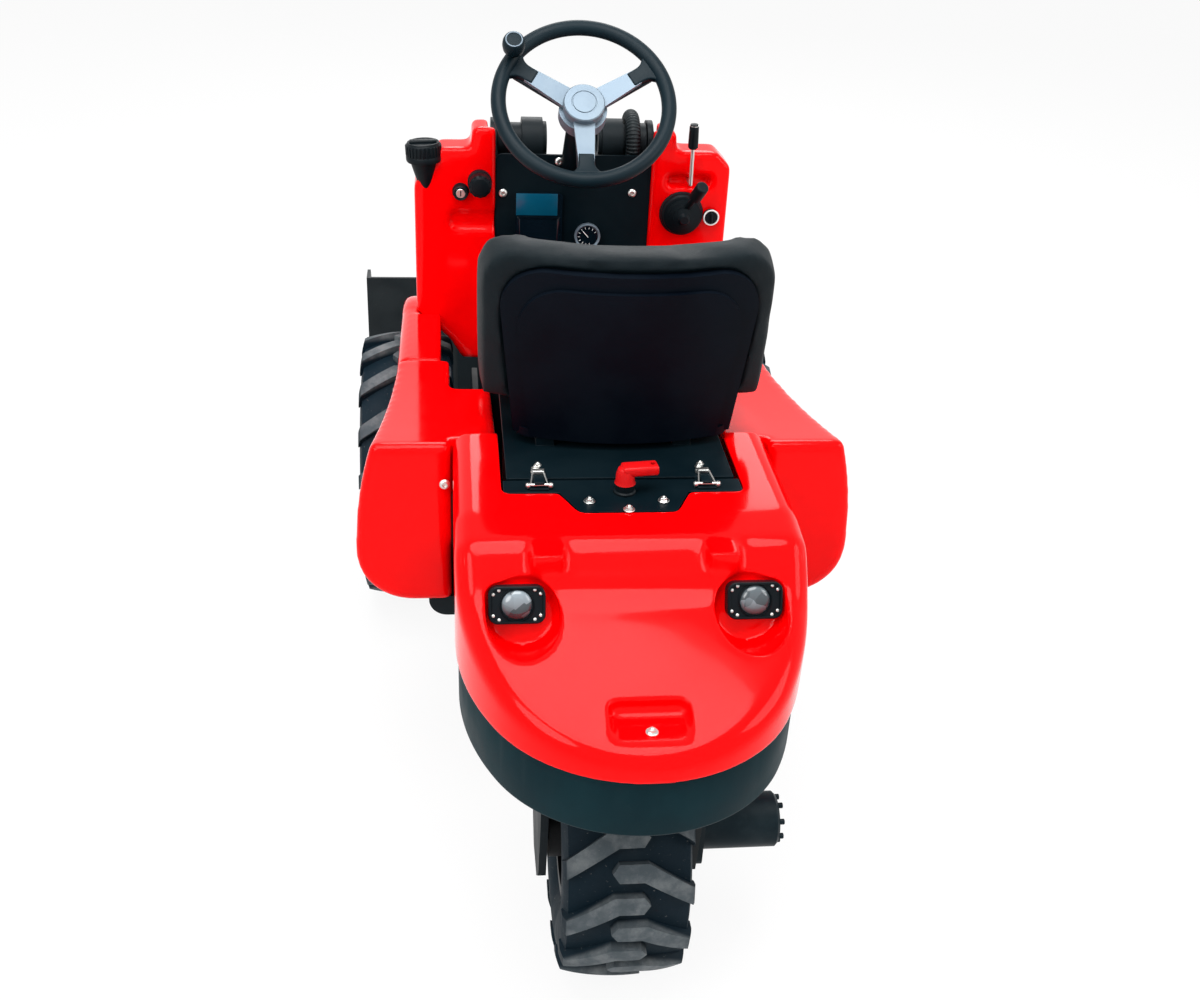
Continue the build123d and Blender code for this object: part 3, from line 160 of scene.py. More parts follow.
def block(size, place, edge=0.0, segments=3):   # a cube at its size, with beveled edges
    clearSelection()
    bpy.ops.mesh.primitive_cube_add(size=1, location=place, scale=size)
    piece = settled(bpy.context.object)
    if edge:
        editAll(piece)
        bpy.ops.mesh.bevel(offset=edge, segments=segments, affect="EDGES")
        bpy.ops.object.mode_set(mode="OBJECT")
    return smoothed(piece, 40)


def ringOf(radius, section, segments, sides):   # a small circle that is spun round Z
    clearSelection()
    bpy.ops.mesh.primitive_circle_add(vertices=sides, radius=section, location=(radius, 0, 0),
                                      rotation=(math.pi / 2, 0, 0))
    piece = settled(bpy.context.object)
    editAll(piece)
    bpy.ops.mesh.spin(steps=segments, angle=2 * math.pi, center=(0, 0, 0), axis=(0, 0, 1))
    bpy.ops.object.mode_set(mode="OBJECT")
    return smoothed(outward(piece), 60)


def pulled(piece, wanted, way):       # the wanted faces are extruded this way
    selectFaces(piece, wanted)
    bpy.ops.mesh.extrude_region_move(TRANSFORM_OT_translate={"value": way})
    bpy.ops.object.mode_set(mode="OBJECT")
    return smoothed(piece)


def cut(piece, cutter):               # the cutter's form is taken out, and the cutter is used up
    applied(piece, "BOOLEAN", operation="DIFFERENCE", object=cutter, solver="EXACT")
    bpy.data.objects.remove(cutter)
    return smoothed(piece)


def dressed(piece, name, body, material, replaced=()):
    piece.name = name
    piece.data.name = name
    piece.data.materials.clear()
    piece.data.materials.append(material)
    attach(piece, body)
    if replaced:
        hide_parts(*replaced)
    return piece


# Shared effects

mottleSpan = (0.35, 0.65)             # of the slow noise: where the colour changes
sheenSpan = (0.3, 0.7)                # of the slow noise: where the roughness changes


def startGroup(name, inputs, outputs):
    group = bpy.data.node_groups.new(name, "ShaderNodeTree")
    for socket, value in inputs.items():
        made = group.interface.new_socket(socket, in_out="INPUT", socket_type="NodeSocketFloat")
        made.default_value = value
    for socket in outputs:
        group.interface.new_socket(socket, in_out="OUTPUT", socket_type="NodeSocketFloat")
    return group, group.nodes.new("NodeGroupInput"), group.nodes.new("NodeGroupOutput")


def noiseIn(tree, coords, scale, detail, roughness=0.55):
    noise = tree.nodes.new("ShaderNodeTexNoise")
    noise.inputs["Detail"].default_value = detail
    noise.inputs["Roughness"].default_value = roughness
    tree.links.new(coords, noise.inputs["Vector"])
    if isinstance(scale, (int, float)):
        noise.inputs["Scale"].default_value = scale
    else:
        tree.links.new(scale, noise.inputs["Scale"])
    return noise.outputs["Fac"]


def mapIn(tree, value, low, high, toLow=0.0, toHigh=1.0):
    node = tree.nodes.new("ShaderNodeMapRange")
    node.interpolation_type = "SMOOTHSTEP"
    for name, number in (("From Min", low), ("From Max", high), ("To Min", toLow), ("To Max", toHigh)):
        if isinstance(number, (int, float)):
            node.inputs[name].default_value = number
        else:
            tree.links.new(number, node.inputs[name])
    tree.links.new(value, node.inputs["Value"])
    return node.outputs["Result"]


def mathIn(tree, operation, first, second):
    node = tree.nodes.new("ShaderNodeMath")
    node.operation = operation
    for place, number in ((0, first), (1, second)):
        if isinstance(number, (int, float)):
            node.inputs[place].default_value = number
        else:
            tree.links.new(number, node.inputs[place])
    return node.outputs["Value"]


def makeGrain():                      # fine orange peel or powder coat, with a slow mottle
    group, start, end = startGroup("grain", {"Scale": 900.0, "Slow": 9.0}, ("Height", "Mottle"))
    coords = group.nodes.new("ShaderNodeTexCoord").outputs["Object"]
    group.links.new(noiseIn(group, coords, start.outputs["Scale"], detail=2.0), end.inputs["Height"])
    group.links.new(noiseIn(group, coords, start.outputs["Slow"], detail=5.0), end.inputs["Mottle"])
    return group


def makeGrime():                      # patches of dust and rubbed spots
    group, start, end = startGroup("grime", {"Scale": 6.0, "Low": 0.5, "High": 0.75}, ("Mask", "Specks"))
    coords = group.nodes.new("ShaderNodeTexCoord").outputs["Object"]
    broad = noiseIn(group, coords, start.outputs["Scale"], detail=8.0, roughness=0.65)
    group.links.new(mapIn(group, broad, start.outputs["Low"], start.outputs["High"]), end.inputs["Mask"])
    fine = noiseIn(group, coords, scale=160.0, detail=3.0, roughness=0.7)
    group.links.new(mapIn(group, fine, low=0.66, high=0.74), end.inputs["Specks"])
    return group


def makeVinyl():                      # small cells of embossed vinyl
    group, start, end = startGroup("vinyl", {"Scale": 420.0}, ("Height",))
    coords = group.nodes.new("ShaderNodeTexCoord").outputs["Object"]
    cells = group.nodes.new("ShaderNodeTexVoronoi")
    cells.feature = "DISTANCE_TO_EDGE"
    group.links.new(coords, cells.inputs["Vector"])
    group.links.new(start.outputs["Scale"], cells.inputs["Scale"])
    edges = mapIn(group, cells.outputs["Distance"], low=0.0, high=0.25)
    soft = noiseIn(group, coords, scale=60.0, detail=3.0)
    group.links.new(mathIn(group, "ADD", edges, soft), end.inputs["Height"])
    return group


grain, grime, vinyl = makeGrain(), makeGrime(), makeVinyl()


def useGroup(tree, group, **values):
    node = tree.nodes.new("ShaderNodeGroup")
    node.node_tree = group
    for name, value in values.items():
        node.inputs[name].default_value = value
    return node.outputs


def mixIn(tree, factor, first, second):
    node = tree.nodes.new("ShaderNodeMix")
    node.data_type = "RGBA"
    tree.links.new(factor, node.inputs["Factor"])
    for place, colour in ((6, first), (7, second)):
        if isinstance(colour, tuple):
            node.inputs[place].default_value = (*colour, 1.0)
        else:
            tree.links.new(colour, node.inputs[place])
    return node.outputs[2]


def startMaterial(name, **values):
    material = bpy.data.materials.new(name)
    material.use_nodes = True
    shader = material.node_tree.nodes["Principled BSDF"]
    for socket, value in values.items():
        shader.inputs[socket.replace("_", " ")].default_value = value
    return material, material.node_tree, shader


def bumpInto(tree, shader, height, strength, distance):
    bump = tree.nodes.new("ShaderNodeBump")
    bump.inputs["Strength"].default_value = strength
    bump.inputs["Distance"].default_value = distance
    tree.links.new(height, bump.inputs["Height"])
    tree.links.new(bump.outputs["Normal"], shader.inputs["Normal"])


def finishLook(name, colour, shade, rough, roughTo, grainScale=900.0, slow=9.0, depth=0.0002, strength=0.3,
               dust=None, dustScale=6.0, dustLow=0.52, dustHigh=0.8, specks=0.35, dustRough=0.12,
               **constants):
    material, tree, shader = startMaterial(name, **constants)
    surface = useGroup(tree, grain, Scale=grainScale, Slow=slow)
    base = mixIn(tree, mapIn(tree, surface["Mottle"], *mottleSpan), colour, shade)
    roughness = mapIn(tree, surface["Mottle"], *sheenSpan, rough, roughTo)
    if dust:
        patch = useGroup(tree, grime, Scale=dustScale, Low=dustLow, High=dustHigh)
        base = mixIn(tree, patch["Mask"], base, dust)
        base = mixIn(tree, mathIn(tree, "MULTIPLY", patch["Specks"], specks), base, dust)
        roughness = mathIn(tree, "ADD", roughness, mathIn(tree, "MULTIPLY", patch["Mask"], dustRough))
    tree.links.new(base, shader.inputs["Base Color"])
    tree.links.new(roughness, shader.inputs["Roughness"])
    bumpInto(tree, shader, surface["Height"], strength, depth)
    return material


redShell = finishLook("redShell", (0.80, 0.0003, 0.0010), (0.73, 0.0002, 0.0008), 0.07, 0.13,
                      grainScale=260.0, depth=0.00004, strength=0.2,
                      Specular_IOR_Level=0.07, Coat_Weight=0.06, Coat_Roughness=0.03)
blackPaint = finishLook("blackPaint", (0.0013, 0.0048, 0.0072), (0.0022, 0.0066, 0.0092), 0.34, 0.48,
                        dust=(0.007, 0.014, 0.018), dustLow=0.6, dustHigh=0.95, Specular_IOR_Level=0.07)
framePaint = finishLook("framePaint", (0.0035, 0.0065, 0.0085), (0.0055, 0.0095, 0.012), 0.42, 0.58,
                        dust=(0.030, 0.033, 0.033), dustLow=0.56, dustHigh=0.9, Specular_IOR_Level=0.12)
weightPaint = finishLook("weightPaint", (0.0006, 0.0125, 0.0175), (0.0014, 0.017, 0.0225), 0.42, 0.58,
                         grainScale=420.0, depth=0.0004, dust=(0.010, 0.026, 0.031),
                         dustLow=0.58, dustHigh=0.95, Specular_IOR_Level=0.08)
engineCast = finishLook("engineCast", (0.10, 0.10, 0.10), (0.16, 0.16, 0.155), 0.5, 0.7,
                        grainScale=300.0, depth=0.0005, dust=(0.05, 0.045, 0.04), Metallic=0.6)
rimPaint = finishLook("rimPaint", (0.008, 0.010, 0.012), (0.013, 0.015, 0.017), 0.38, 0.5,
                      dust=(0.06, 0.058, 0.054), Specular_IOR_Level=0.25)
motorPaint = finishLook("motorPaint", (0.0008, 0.0070, 0.0110), (0.0025, 0.0105, 0.0155), 0.34, 0.5,
                        grainScale=500.0, depth=0.0003, dust=(0.016, 0.027, 0.032),
                        dustLow=0.5, dustHigh=0.85, Specular_IOR_Level=0.11)
seatPlastic = finishLook("seatPlastic", (0.0006, 0.0018, 0.0042), (0.0014, 0.0032, 0.0062), 0.42, 0.6,
                         grainScale=1200.0, depth=0.0003, strength=0.5, dust=(0.006, 0.009, 0.013),
                         dustLow=0.62, dustHigh=0.95, Specular_IOR_Level=0.05)
mouldBlack = finishLook("mouldBlack", (0.0015, 0.0036, 0.0052), (0.0026, 0.0056, 0.0076), 0.36, 0.5,
                        grainScale=1100.0, depth=0.0002, dust=(0.008, 0.012, 0.015),
                        dustLow=0.62, dustHigh=0.95, Specular_IOR_Level=0.12)
gripRubber = finishLook("gripRubber", (0.0018, 0.0078, 0.0120), (0.0030, 0.0105, 0.0152), 0.40, 0.53,
                        grainScale=1500.0, depth=0.0002, strength=0.4, Specular_IOR_Level=0.12)
spokeMetal = finishLook("spokeMetal", (0.125, 0.165, 0.205), (0.165, 0.21, 0.25), 0.42, 0.52,
                        grainScale=700.0, depth=0.00005, Metallic=0.5, Specular_IOR_Level=0.3)
keyRed = finishLook("keyRed", (0.50, 0.0035, 0.0045), (0.42, 0.0028, 0.0038), 0.3, 0.42,
                    grainScale=700.0, Specular_IOR_Level=0.18)
zincPlate = finishLook("zincPlate", (0.60, 0.61, 0.60), (0.70, 0.70, 0.67), 0.26, 0.42,
                       grainScale=600.0, Metallic=1.0)
rodChrome = finishLook("rodChrome", (0.78, 0.79, 0.80), (0.82, 0.82, 0.83), 0.06, 0.12,
                       depth=0.00002, Metallic=1.0)
hoseRubber = finishLook("hoseRubber", (0.0035, 0.0075, 0.0095), (0.0055, 0.011, 0.0135), 0.42, 0.55,
                        grainScale=900.0, Specular_IOR_Level=0.25)
bucketPaint = finishLook("bucketPaint", (0.0035, 0.0065, 0.0085), (0.0075, 0.0115, 0.0135), 0.36, 0.52,
                         dust=(0.05, 0.048, 0.045), dustLow=0.55, dustHigh=0.85, Specular_IOR_Level=0.25)
displayGlass = finishLook("displayGlass", (0.0015, 0.0045, 0.008), (0.0022, 0.0062, 0.0105), 0.08, 0.14,
                          depth=0.00002, Specular_IOR_Level=0.3)
screenBlue = finishLook("screenBlue", (0.0012, 0.052, 0.098), (0.002, 0.063, 0.112), 0.12, 0.2,
                        depth=0.00002, Specular_IOR_Level=0.25)
whitePaint = finishLook("whitePaint", (0.75, 0.75, 0.74), (0.68, 0.68, 0.67), 0.35, 0.5)

vinylValues = {"grain": 300.0, "slow": 7.0, "cells": 520.0, "specular": 0.09, "rough": (0.42, 0.56),
               "colours": ((0.0018, 0.0050, 0.0070), (0.0034, 0.0078, 0.0102)),
               "strength": 0.55, "depth": 0.0004}


def makeVinylLook(values):
    material, tree, shader = startMaterial("seatVinyl", Specular_IOR_Level=values["specular"])
    surface = useGroup(tree, grain, Scale=values["grain"], Slow=values["slow"])
    cells = useGroup(tree, vinyl, Scale=values["cells"])
    base = mixIn(tree, mapIn(tree, surface["Mottle"], *mottleSpan), *values["colours"])
    tree.links.new(base, shader.inputs["Base Color"])
    tree.links.new(mapIn(tree, surface["Mottle"], *sheenSpan, *values["rough"]), shader.inputs["Roughness"])
    bumpInto(tree, shader, cells["Height"], values["strength"], values["depth"])
    return material


tyreValues = {"grooveDepth": 0.019, "wornDepth": 0.008, "grain": 500.0, "slow": 14.0, "specular": 0.11,
              "patch": {"Scale": 22.0, "Low": 0.38, "High": 0.7}, "specks": 0.5, "speck": (0.16, 0.16, 0.155),
              "rubber": ((0.0008, 0.0062, 0.0115), (0.0028, 0.0110, 0.0178)),
              "dust": ((0.050, 0.062, 0.070), (0.125, 0.137, 0.143)),
              "rough": (0.55, 0.75), "strength": 0.5, "depth": 0.0006}


def makeTyreLook(name, centre, tipRadius, values):   # dark in the grooves and dusty grey on the worn lug tops
    material, tree, shader = startMaterial(name, Specular_IOR_Level=values["specular"])
    coords = tree.nodes.new("ShaderNodeTexCoord")
    shift = tree.nodes.new("ShaderNodeMapping")
    shift.inputs["Location"].default_value = [-value for value in centre]
    tree.links.new(coords.outputs["Object"], shift.inputs["Vector"])
    parts = tree.nodes.new("ShaderNodeSeparateXYZ")
    tree.links.new(shift.outputs["Vector"], parts.inputs["Vector"])
    squares = [mathIn(tree, "MULTIPLY", parts.outputs[axis], parts.outputs[axis]) for axis in "YZ"]
    radius = mathIn(tree, "SQRT", mathIn(tree, "ADD", *squares), 0.0)
    worn = mapIn(tree, radius, tipRadius - values["grooveDepth"], tipRadius - values["wornDepth"])
    surface = useGroup(tree, grain, Scale=values["grain"], Slow=values["slow"])
    patch = useGroup(tree, grime, **values["patch"])
    rubber = mixIn(tree, surface["Mottle"], *values["rubber"])
    dusty = mixIn(tree, patch["Mask"], *values["dust"])
    base = mixIn(tree, worn, rubber, dusty)
    base = mixIn(tree, mathIn(tree, "MULTIPLY", patch["Specks"], values["specks"]), base, values["speck"])
    tree.links.new(base, shader.inputs["Base Color"])
    tree.links.new(mapIn(tree, surface["Mottle"], *sheenSpan, *values["rough"]), shader.inputs["Roughness"])
    bumpInto(tree, shader, surface["Height"], values["strength"], values["depth"])
    return material


# facets, foot, top, tones and colours set the painted glints and the painted shade in the lens colour
lensValues = {"facets": 75.0, "foot": 0.682, "top": 0.722, "glintTones": (0.1, 0.9, 0.2, 1.0),
              "colours": ((0.012, 0.020, 0.025), (0.25, 0.30, 0.33)), "rough": (0.0, 1.0, 0.03, 0.10)}


def makeLensLook(values):             # clear lens over a facetted reflector, with painted glints on the facets and painted shade towards its foot
    material, tree, shader = startMaterial("lampLens", Transmission_Weight=0.25, IOR=1.5,
                                           Specular_IOR_Level=0.6)
    coords = tree.nodes.new("ShaderNodeTexCoord").outputs["Object"]
    parts = tree.nodes.new("ShaderNodeSeparateXYZ")
    tree.links.new(coords, parts.inputs["Vector"])
    cells = tree.nodes.new("ShaderNodeTexVoronoi")
    cells.inputs["Scale"].default_value = values["facets"]
    tree.links.new(coords, cells.inputs["Vector"])
    tone = tree.nodes.new("ShaderNodeSeparateColor")
    tree.links.new(cells.outputs["Color"], tone.inputs["Color"])
    # painted shade: darker towards the lens foot; painted glints: some facets brighter than others
    rise = mapIn(tree, parts.outputs["Z"], values["foot"], values["top"])
    paintedGlintAndShade = mathIn(tree, "MULTIPLY", rise, mapIn(tree, tone.outputs["Red"], *values["glintTones"]))
    tree.links.new(mixIn(tree, paintedGlintAndShade, *values["colours"]), shader.inputs["Base Color"])
    tree.links.new(mapIn(tree, tone.outputs["Green"], *values["rough"]), shader.inputs["Roughness"])
    return material


seatVinyl = makeVinylLook(vinylValues)
lampLens = makeLensLook(lensValues)
tyreLooks = {}
for tyreName, jointName in (("rear_tyre", "rear_wheel_spin"), ("front_left_tyre", "front_left_spin"),
                            ("front_right_tyre", "front_right_spin")):
    low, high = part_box(tyreName)
    tyreLooks[tyreName] = makeTyreLook(tyreName + "Look", joints[jointName]["pos_m"], (high.z - low.z) / 2,
                                       tyreValues)

slotLooks = {
    "red_shell": redShell, "black_paint": blackPaint, "frame_paint": framePaint, "weight_paint": weightPaint,
    "engine_cast": engineCast, "rim_paint": rimPaint, "motor_paint": motorPaint, "seat_plastic": seatPlastic,
    "seat_vinyl": seatVinyl, "lamp_black": mouldBlack, "lamp_lens": lampLens, "ring_grip": gripRubber,
    "spoke_metal": spokeMetal, "knob_black": mouldBlack, "key_red": keyRed, "zinc": zincPlate,
    "screen": displayGlass, "rod_chrome": rodChrome, "hose_black": hoseRubber, "bucket_paint": bucketPaint,
}
for part in frame["record"]["subparts"]:
    look = tyreLooks.get(part["node"]) or slotLooks[part["material_slot"]]
    piece = nodes[part["node"]]
    if not piece.material_slots:
        piece.data.materials.append(look)
    for holder in piece.material_slots:
        holder.material = look


# Pieces that Blender adds. Places are (across, forward from the rear axle, up), in metres.

tyreLow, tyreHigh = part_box("rear_tyre")
axleY = (tyreLow.y + tyreHigh.y) / 2
faceBack, faceUp = (0, -1, 0), (0, 0, 1)


def spot(place):
    return Vector((place[0], place[1] + axleY, place[2]))


def around(count, radius, start=0.0):   # places on a circle round Z
    turns = [start + 2 * math.pi * step / count for step in range(count)]
    return [Matrix.Rotation(turn, 4, "Z") @ Matrix.Translation((radius, 0, 0)) for turn in turns]


def scaled(steps, size):              # steps of a turned form that are given for a size of 1
    return [(radius * size, height * size) for radius, height in steps]


def rod(start, end, radius):          # round bar between two points
    way = Vector(end) - Vector(start)
    return moved(turned([(radius, 0), (radius, way.length)], 12), seat(start, way))


# Seat cushions, blown up as cloth

cushionValues = {"voxel": 0.006, "shrink": -0.005, "pressure": 4.0, "frames": 20, "cap": 0.006,
                 "soften": 0.5, "calm": 24}


def makeCushion(name, node, values):
    pad = outward(copied(nodes[node], Matrix.Identity(4)))
    applied(pad, "REMESH", mode="VOXEL", voxel_size=values["voxel"])
    editAll(pad)
    bpy.ops.transform.shrink_fatten(value=values["shrink"])
    bpy.ops.object.mode_set(mode="OBJECT")
    start = [vertex.co.copy() for vertex in pad.data.vertices]
    pick(pad)
    cloth = pad.modifiers.new("Cloth", "CLOTH")
    cloth.settings.use_pressure = True
    cloth.settings.uniform_pressure_force = values["pressure"]
    cloth.settings.effector_weights.gravity = 0.0
    for step in range(1, values["frames"] + 1):
        bpy.context.scene.frame_set(step)
    bpy.ops.object.modifier_apply(modifier=cloth.name)
    bpy.context.scene.frame_set(1)
    for vertex, first in zip(pad.data.vertices, start):
        shift = vertex.co - first
        if shift.length > values["cap"]:
            vertex.co = first + shift.normalized() * values["cap"]
    applied(pad, "SMOOTH", factor=values["soften"], iterations=values["calm"])
    applied(pad, "SUBSURF", levels=1, render_levels=1)
    dressed(smoothed(pad, 80), name, "seat", seatVinyl, (node,))
    return pad


backPad = makeCushion("back_pad", "seat_back_cushion", cushionValues)
basePad = makeCushion("base_pad", "seat_base_cushion", cushionValues)
print("cushions blown up:", len(backPad.data.polygons), len(basePad.data.polygons))


# Moulded red shells: the CAD forms with softened edges

shellRows = (("rear_cowl", 0.003, 0.003, 36, 0.45),   # node, voxel, swell, passes, kept share of faces
             ("side_boxes", 0.0045, 0.0, 26, 0.6), ("left_console", 0.0045, 0.0, 18, 1.0),
             ("right_console", 0.0045, 0.0, 18, 1.0), ("mudguards", 0.0045, 0.0, 18, 1.0))


def makeMoulded(node, voxel, swell, passes, kept):
    shell = outward(copied(nodes[node], Matrix.Identity(4)))
    editAll(shell)
    bpy.ops.transform.shrink_fatten(value=swell)   # thin walls close before the remesh
    applied(shell, "REMESH", mode="VOXEL", voxel_size=voxel)
    editAll(shell)
    bpy.ops.transform.shrink_fatten(value=-swell)
    bpy.ops.object.mode_set(mode="OBJECT")
    applied(shell, "SMOOTH", factor=0.5, iterations=passes)
    if kept < 1:
        applied(shell, "DECIMATE", ratio=kept)
    dressed(smoothed(shell, 70), "moulded_" + node, "chassis", redShell, (node,))
    return len(shell.data.polygons)


print("shells moulded:", [makeMoulded(*row) for row in shellRows])


# Broken edges on sheet metal and castings

edgeRows = (("counterweight", 0.004), ("dash_panel", 0.0015), ("deck_strip", 0.0015), ("seat_lid", 0.0015),
            ("boom_tower", 0.002), ("floor_plate", 0.0015), ("bucket", 0.0015), ("rear_fork", 0.002),
            ("hitch_plate", 0.002), ("side_trays", 0.0015))
for node, width in edgeRows:
    weld = nodes[node].modifiers.new("weld", "WELD")
    weld.merge_threshold = 1e-5
    bevel = nodes[node].modifiers.new("edges", "BEVEL")
    bevel.width = width
    bevel.segments = 2
    bevel.limit_method = "ANGLE"
    bevel.angle_limit = math.radians(50)
    bevel.harden_normals = True
print("edges broken on", len(edgeRows), "nodes")


# Bolts and screws

headSteps = {                         # for a size of 1
    "washer": ((0.95, 0), (1, 0.06), (1, 0.16), (0.95, 0.2)),
    "hexagon": ((0.62, 0.18), (0.62, 0.62), (0.54, 0.72)),
    "end": ((0.26, 0.7), (0.26, 0.9), (0.16, 0.98)),
    "button": ((1, 0), (1, 0.25), (0.82, 0.5), (0.5, 0.62), (0.42, 0.6), (0.38, 0.3)),
    "tall": ((0.62, 0), (0.62, 0.92), (0.54, 1), (0.36, 1), (0.32, 0.55)),
}


def makeBolt(size):                   # washer, hexagon head and a domed end
    parts = (("washer", 24), ("hexagon", 6), ("end", 12))
    return joined([turned(scaled(headSteps[part], size), segments) for part, segments in parts])


def makeScrew(size, head="button"):   # round head with a sunk socket
    return turned(scaled(headSteps[head], size), 20)


boltValues = {
    "size": 0.0085, "deckTurn": 0.3, "backTurn": 0.4,
    "deck": ((0.054, 0.082, 0.778), (-0.054, 0.082, 0.778), (0.0, 0.0535, 0.7803), (0.0, -0.262, 0.6357)),
    "back": ((-0.141, 1.072, 0.919), (0.1205, 1.072, 0.9226), (-0.030, 1.072, 0.985), (-0.179, 1.060, 0.784),
             (0.179, 1.060, 0.784), (-0.262, 0.268, 0.704), (0.262, 0.268, 0.704)),
}
deckPlaces = [seat(spot(place), faceUp, boltValues["deckTurn"] * step)
              for step, place in enumerate(boltValues["deck"])]
dressed(patterned(makeBolt(boltValues["size"]), deckPlaces), "deck_bolts", "chassis", zincPlate)
backPlaces = [seat(spot(place), faceBack, boltValues["backTurn"] * step)
              for step, place in enumerate(boltValues["back"])]
dressed(patterned(makeScrew(boltValues["size"]), backPlaces), "dash_screws", "chassis", zincPlate)

motorValues = {"count": 8, "circle": 0.034, "start": 0.2, "screw": 0.0075,
               "cover": ((0.030, 0.0), (0.030, 0.002), (0.012, 0.002), (0.012, 0.005), (0.010, 0.006))}
motorLow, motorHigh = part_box("rear_motor")
motorEnd = Vector((motorHigh.x, axleY, (motorLow.z + motorHigh.z) / 2))
motorTurn = Matrix.Translation(motorEnd) @ Matrix.Rotation(math.pi / 2, 4, "Y")
motorPlaces = around(motorValues["count"], motorValues["circle"], motorValues["start"])
motorScrews = patterned(makeScrew(motorValues["screw"], "tall"), [motorTurn @ place for place in motorPlaces])
dressed(motorScrews, "motor_bolts", "fork", motorPaint)
dressed(moved(turned(motorValues["cover"], 40), motorTurn), "motor_cover", "fork", motorPaint)

nutValues = {"count": 5, "circle": 0.075, "size": 0.014, "face": 0.018}
for side, sideName in ((-1, "left"), (1, "right")):
    hub = Vector(joints[f"front_{sideName}_spin"]["pos_m"])
    hubFace = Matrix.Translation((hub.x + side * nutValues["face"], hub.y, hub.z))
    hubTurn = hubFace @ Matrix.Rotation(side * math.pi / 2, 4, "Y")
    nutPlaces = [hubTurn @ place for place in around(nutValues["count"], nutValues["circle"])]
    dressed(patterned(makeBolt(nutValues["size"]), nutPlaces), f"{sideName}_wheel_nuts",
            f"front_{sideName}_wheel", zincPlate)
print("bolts set")


# Rear lamps

lampValues = {
    "x": 0.165, "station": -0.066, "z": 0.704, "tilt": math.radians(24), "face": 0.008, "lens": 0.0215,
    "dome": ((1, -0.0046), (1, 0), (0.93, 0.0026), (0.74, 0.0052), (0.45, 0.0068), (0.12, 0.0074)),
    "bowl": ((0.98, -0.0049), (0.9, -0.0047), (0.72, -0.003), (0.5, -0.0045), (0.34, -0.002), (0.2, 0.001)),
    "ring": ((0.0238, -0.001), (0.0238, 0.0022), (0.0227, 0.0034), (0.0219, 0.0022), (0.0219, -0.001)),
    "frame": (0.078, 0.052), "foot": -0.001, "corner": 0.013, "rise": 0.004,
    "insets": ((0.0012, 0.0012), (0.0022, 0.0), (0.0008, -0.0036)),   # thickness, rise
    "screw": 0.0025, "screwPlaces": ((0.0325, 0.0150), (0.0245, 0.0205)),
}


def lampTurn(side, values):
    lean = Matrix.Rotation(math.pi / 2 - values["tilt"], 4, "X")
    return Matrix.Translation(spot((side * values["x"], values["station"], values["z"]))) @ lean


def makeLamps(values):
    turns = [lampTurn(side, values) for side in (-1, 1)]
    face, lens = values["face"], values["lens"]
    rows = (("lamp_domes", "dome", lens, lampLens, "lamp_lens", ("lamp_lenses",)),
            ("lamp_bowls", "bowl", lens, rodChrome, "rod_chrome", ()),
            ("lamp_rings", "ring", 1, mouldBlack, "lamp_black", ()))
    for name, part, size, look, slotName, replaced in rows:
        steps = [(radius * size, face + rise) for radius, rise in values[part]]
        dressed(patterned(turned(steps, 40), turns), name, "chassis", look, replaced)
    clearSelection()
    bpy.ops.mesh.primitive_plane_add(size=1, location=(0, 0, face + values["foot"]))
    rim = settled(bpy.context.object)
    editAll(rim)
    bpy.ops.transform.resize(value=(*values["frame"], 1))
    bpy.ops.mesh.bevel(offset=values["corner"], segments=6, affect="VERTICES")
    bpy.ops.mesh.select_all(action="SELECT")
    bpy.ops.mesh.extrude_region_move(TRANSFORM_OT_translate={"value": (0, 0, values["rise"])})
    for thickness, rise in values["insets"]:
        bpy.ops.mesh.inset(thickness=thickness)
        bpy.ops.transform.translate(value=(0, 0, rise))
    bpy.ops.object.mode_set(mode="OBJECT")
    dressed(patterned(smoothed(outward(rim)), turns), "lamp_frames", "chassis", mouldBlack)
    corners = [(signX * x, signY * y, face) for x, y in values["screwPlaces"]
               for signX, signY in ((1, 1), (1, -1), (-1, 1), (-1, -1))]
    places = [turn @ Matrix.Translation(corner) for turn in turns for corner in corners]
    dressed(patterned(makeScrew(values["screw"]), places), "lamp_screws", "chassis", zincPlate)


makeLamps(lampValues)
print("lamps glazed")


# Latches and isolator key

latchValues = {
    "x": 0.124, "deck": 0.778,
    "plate": (0.028, 0.033, 0.003), "plateAt": (0, 0.1305, 0.0015), "plateEdge": 0.0008,
    "tongue": (0.016, 0.024, 0.005), "tongueAt": (0, 0.1325, 0.0075), "tongueEdge": 0.0018,
    "tongueLip": (0, -0.004, 0.0025),
    "pin": 0.0022, "pinY": 0.120, "pinZ": 0.007, "pinHalf": 0.0165, "ball": 0.0040, "ballZ": 0.006,
    "ballSteps": ((0.55, -1), (0.9, -0.6), (1, 0), (0.9, 0.6), (0.55, 1)),
    "wire": 0.0012, "bailFoot": 0.0125, "bailTop": 0.008, "bailY": 0.153, "bailZ": 0.0105,
    "catch": (0.020, 0.008, 0.005), "catchAt": (0, 0.166, 0.0025), "catchEdge": 0.0012,
    "catchLip": (0, -0.002, 0.003), "nut": 0.0058, "nutPlaces": ((-0.002, 0.183, 0), (0.002, 0.192, 0)),
}


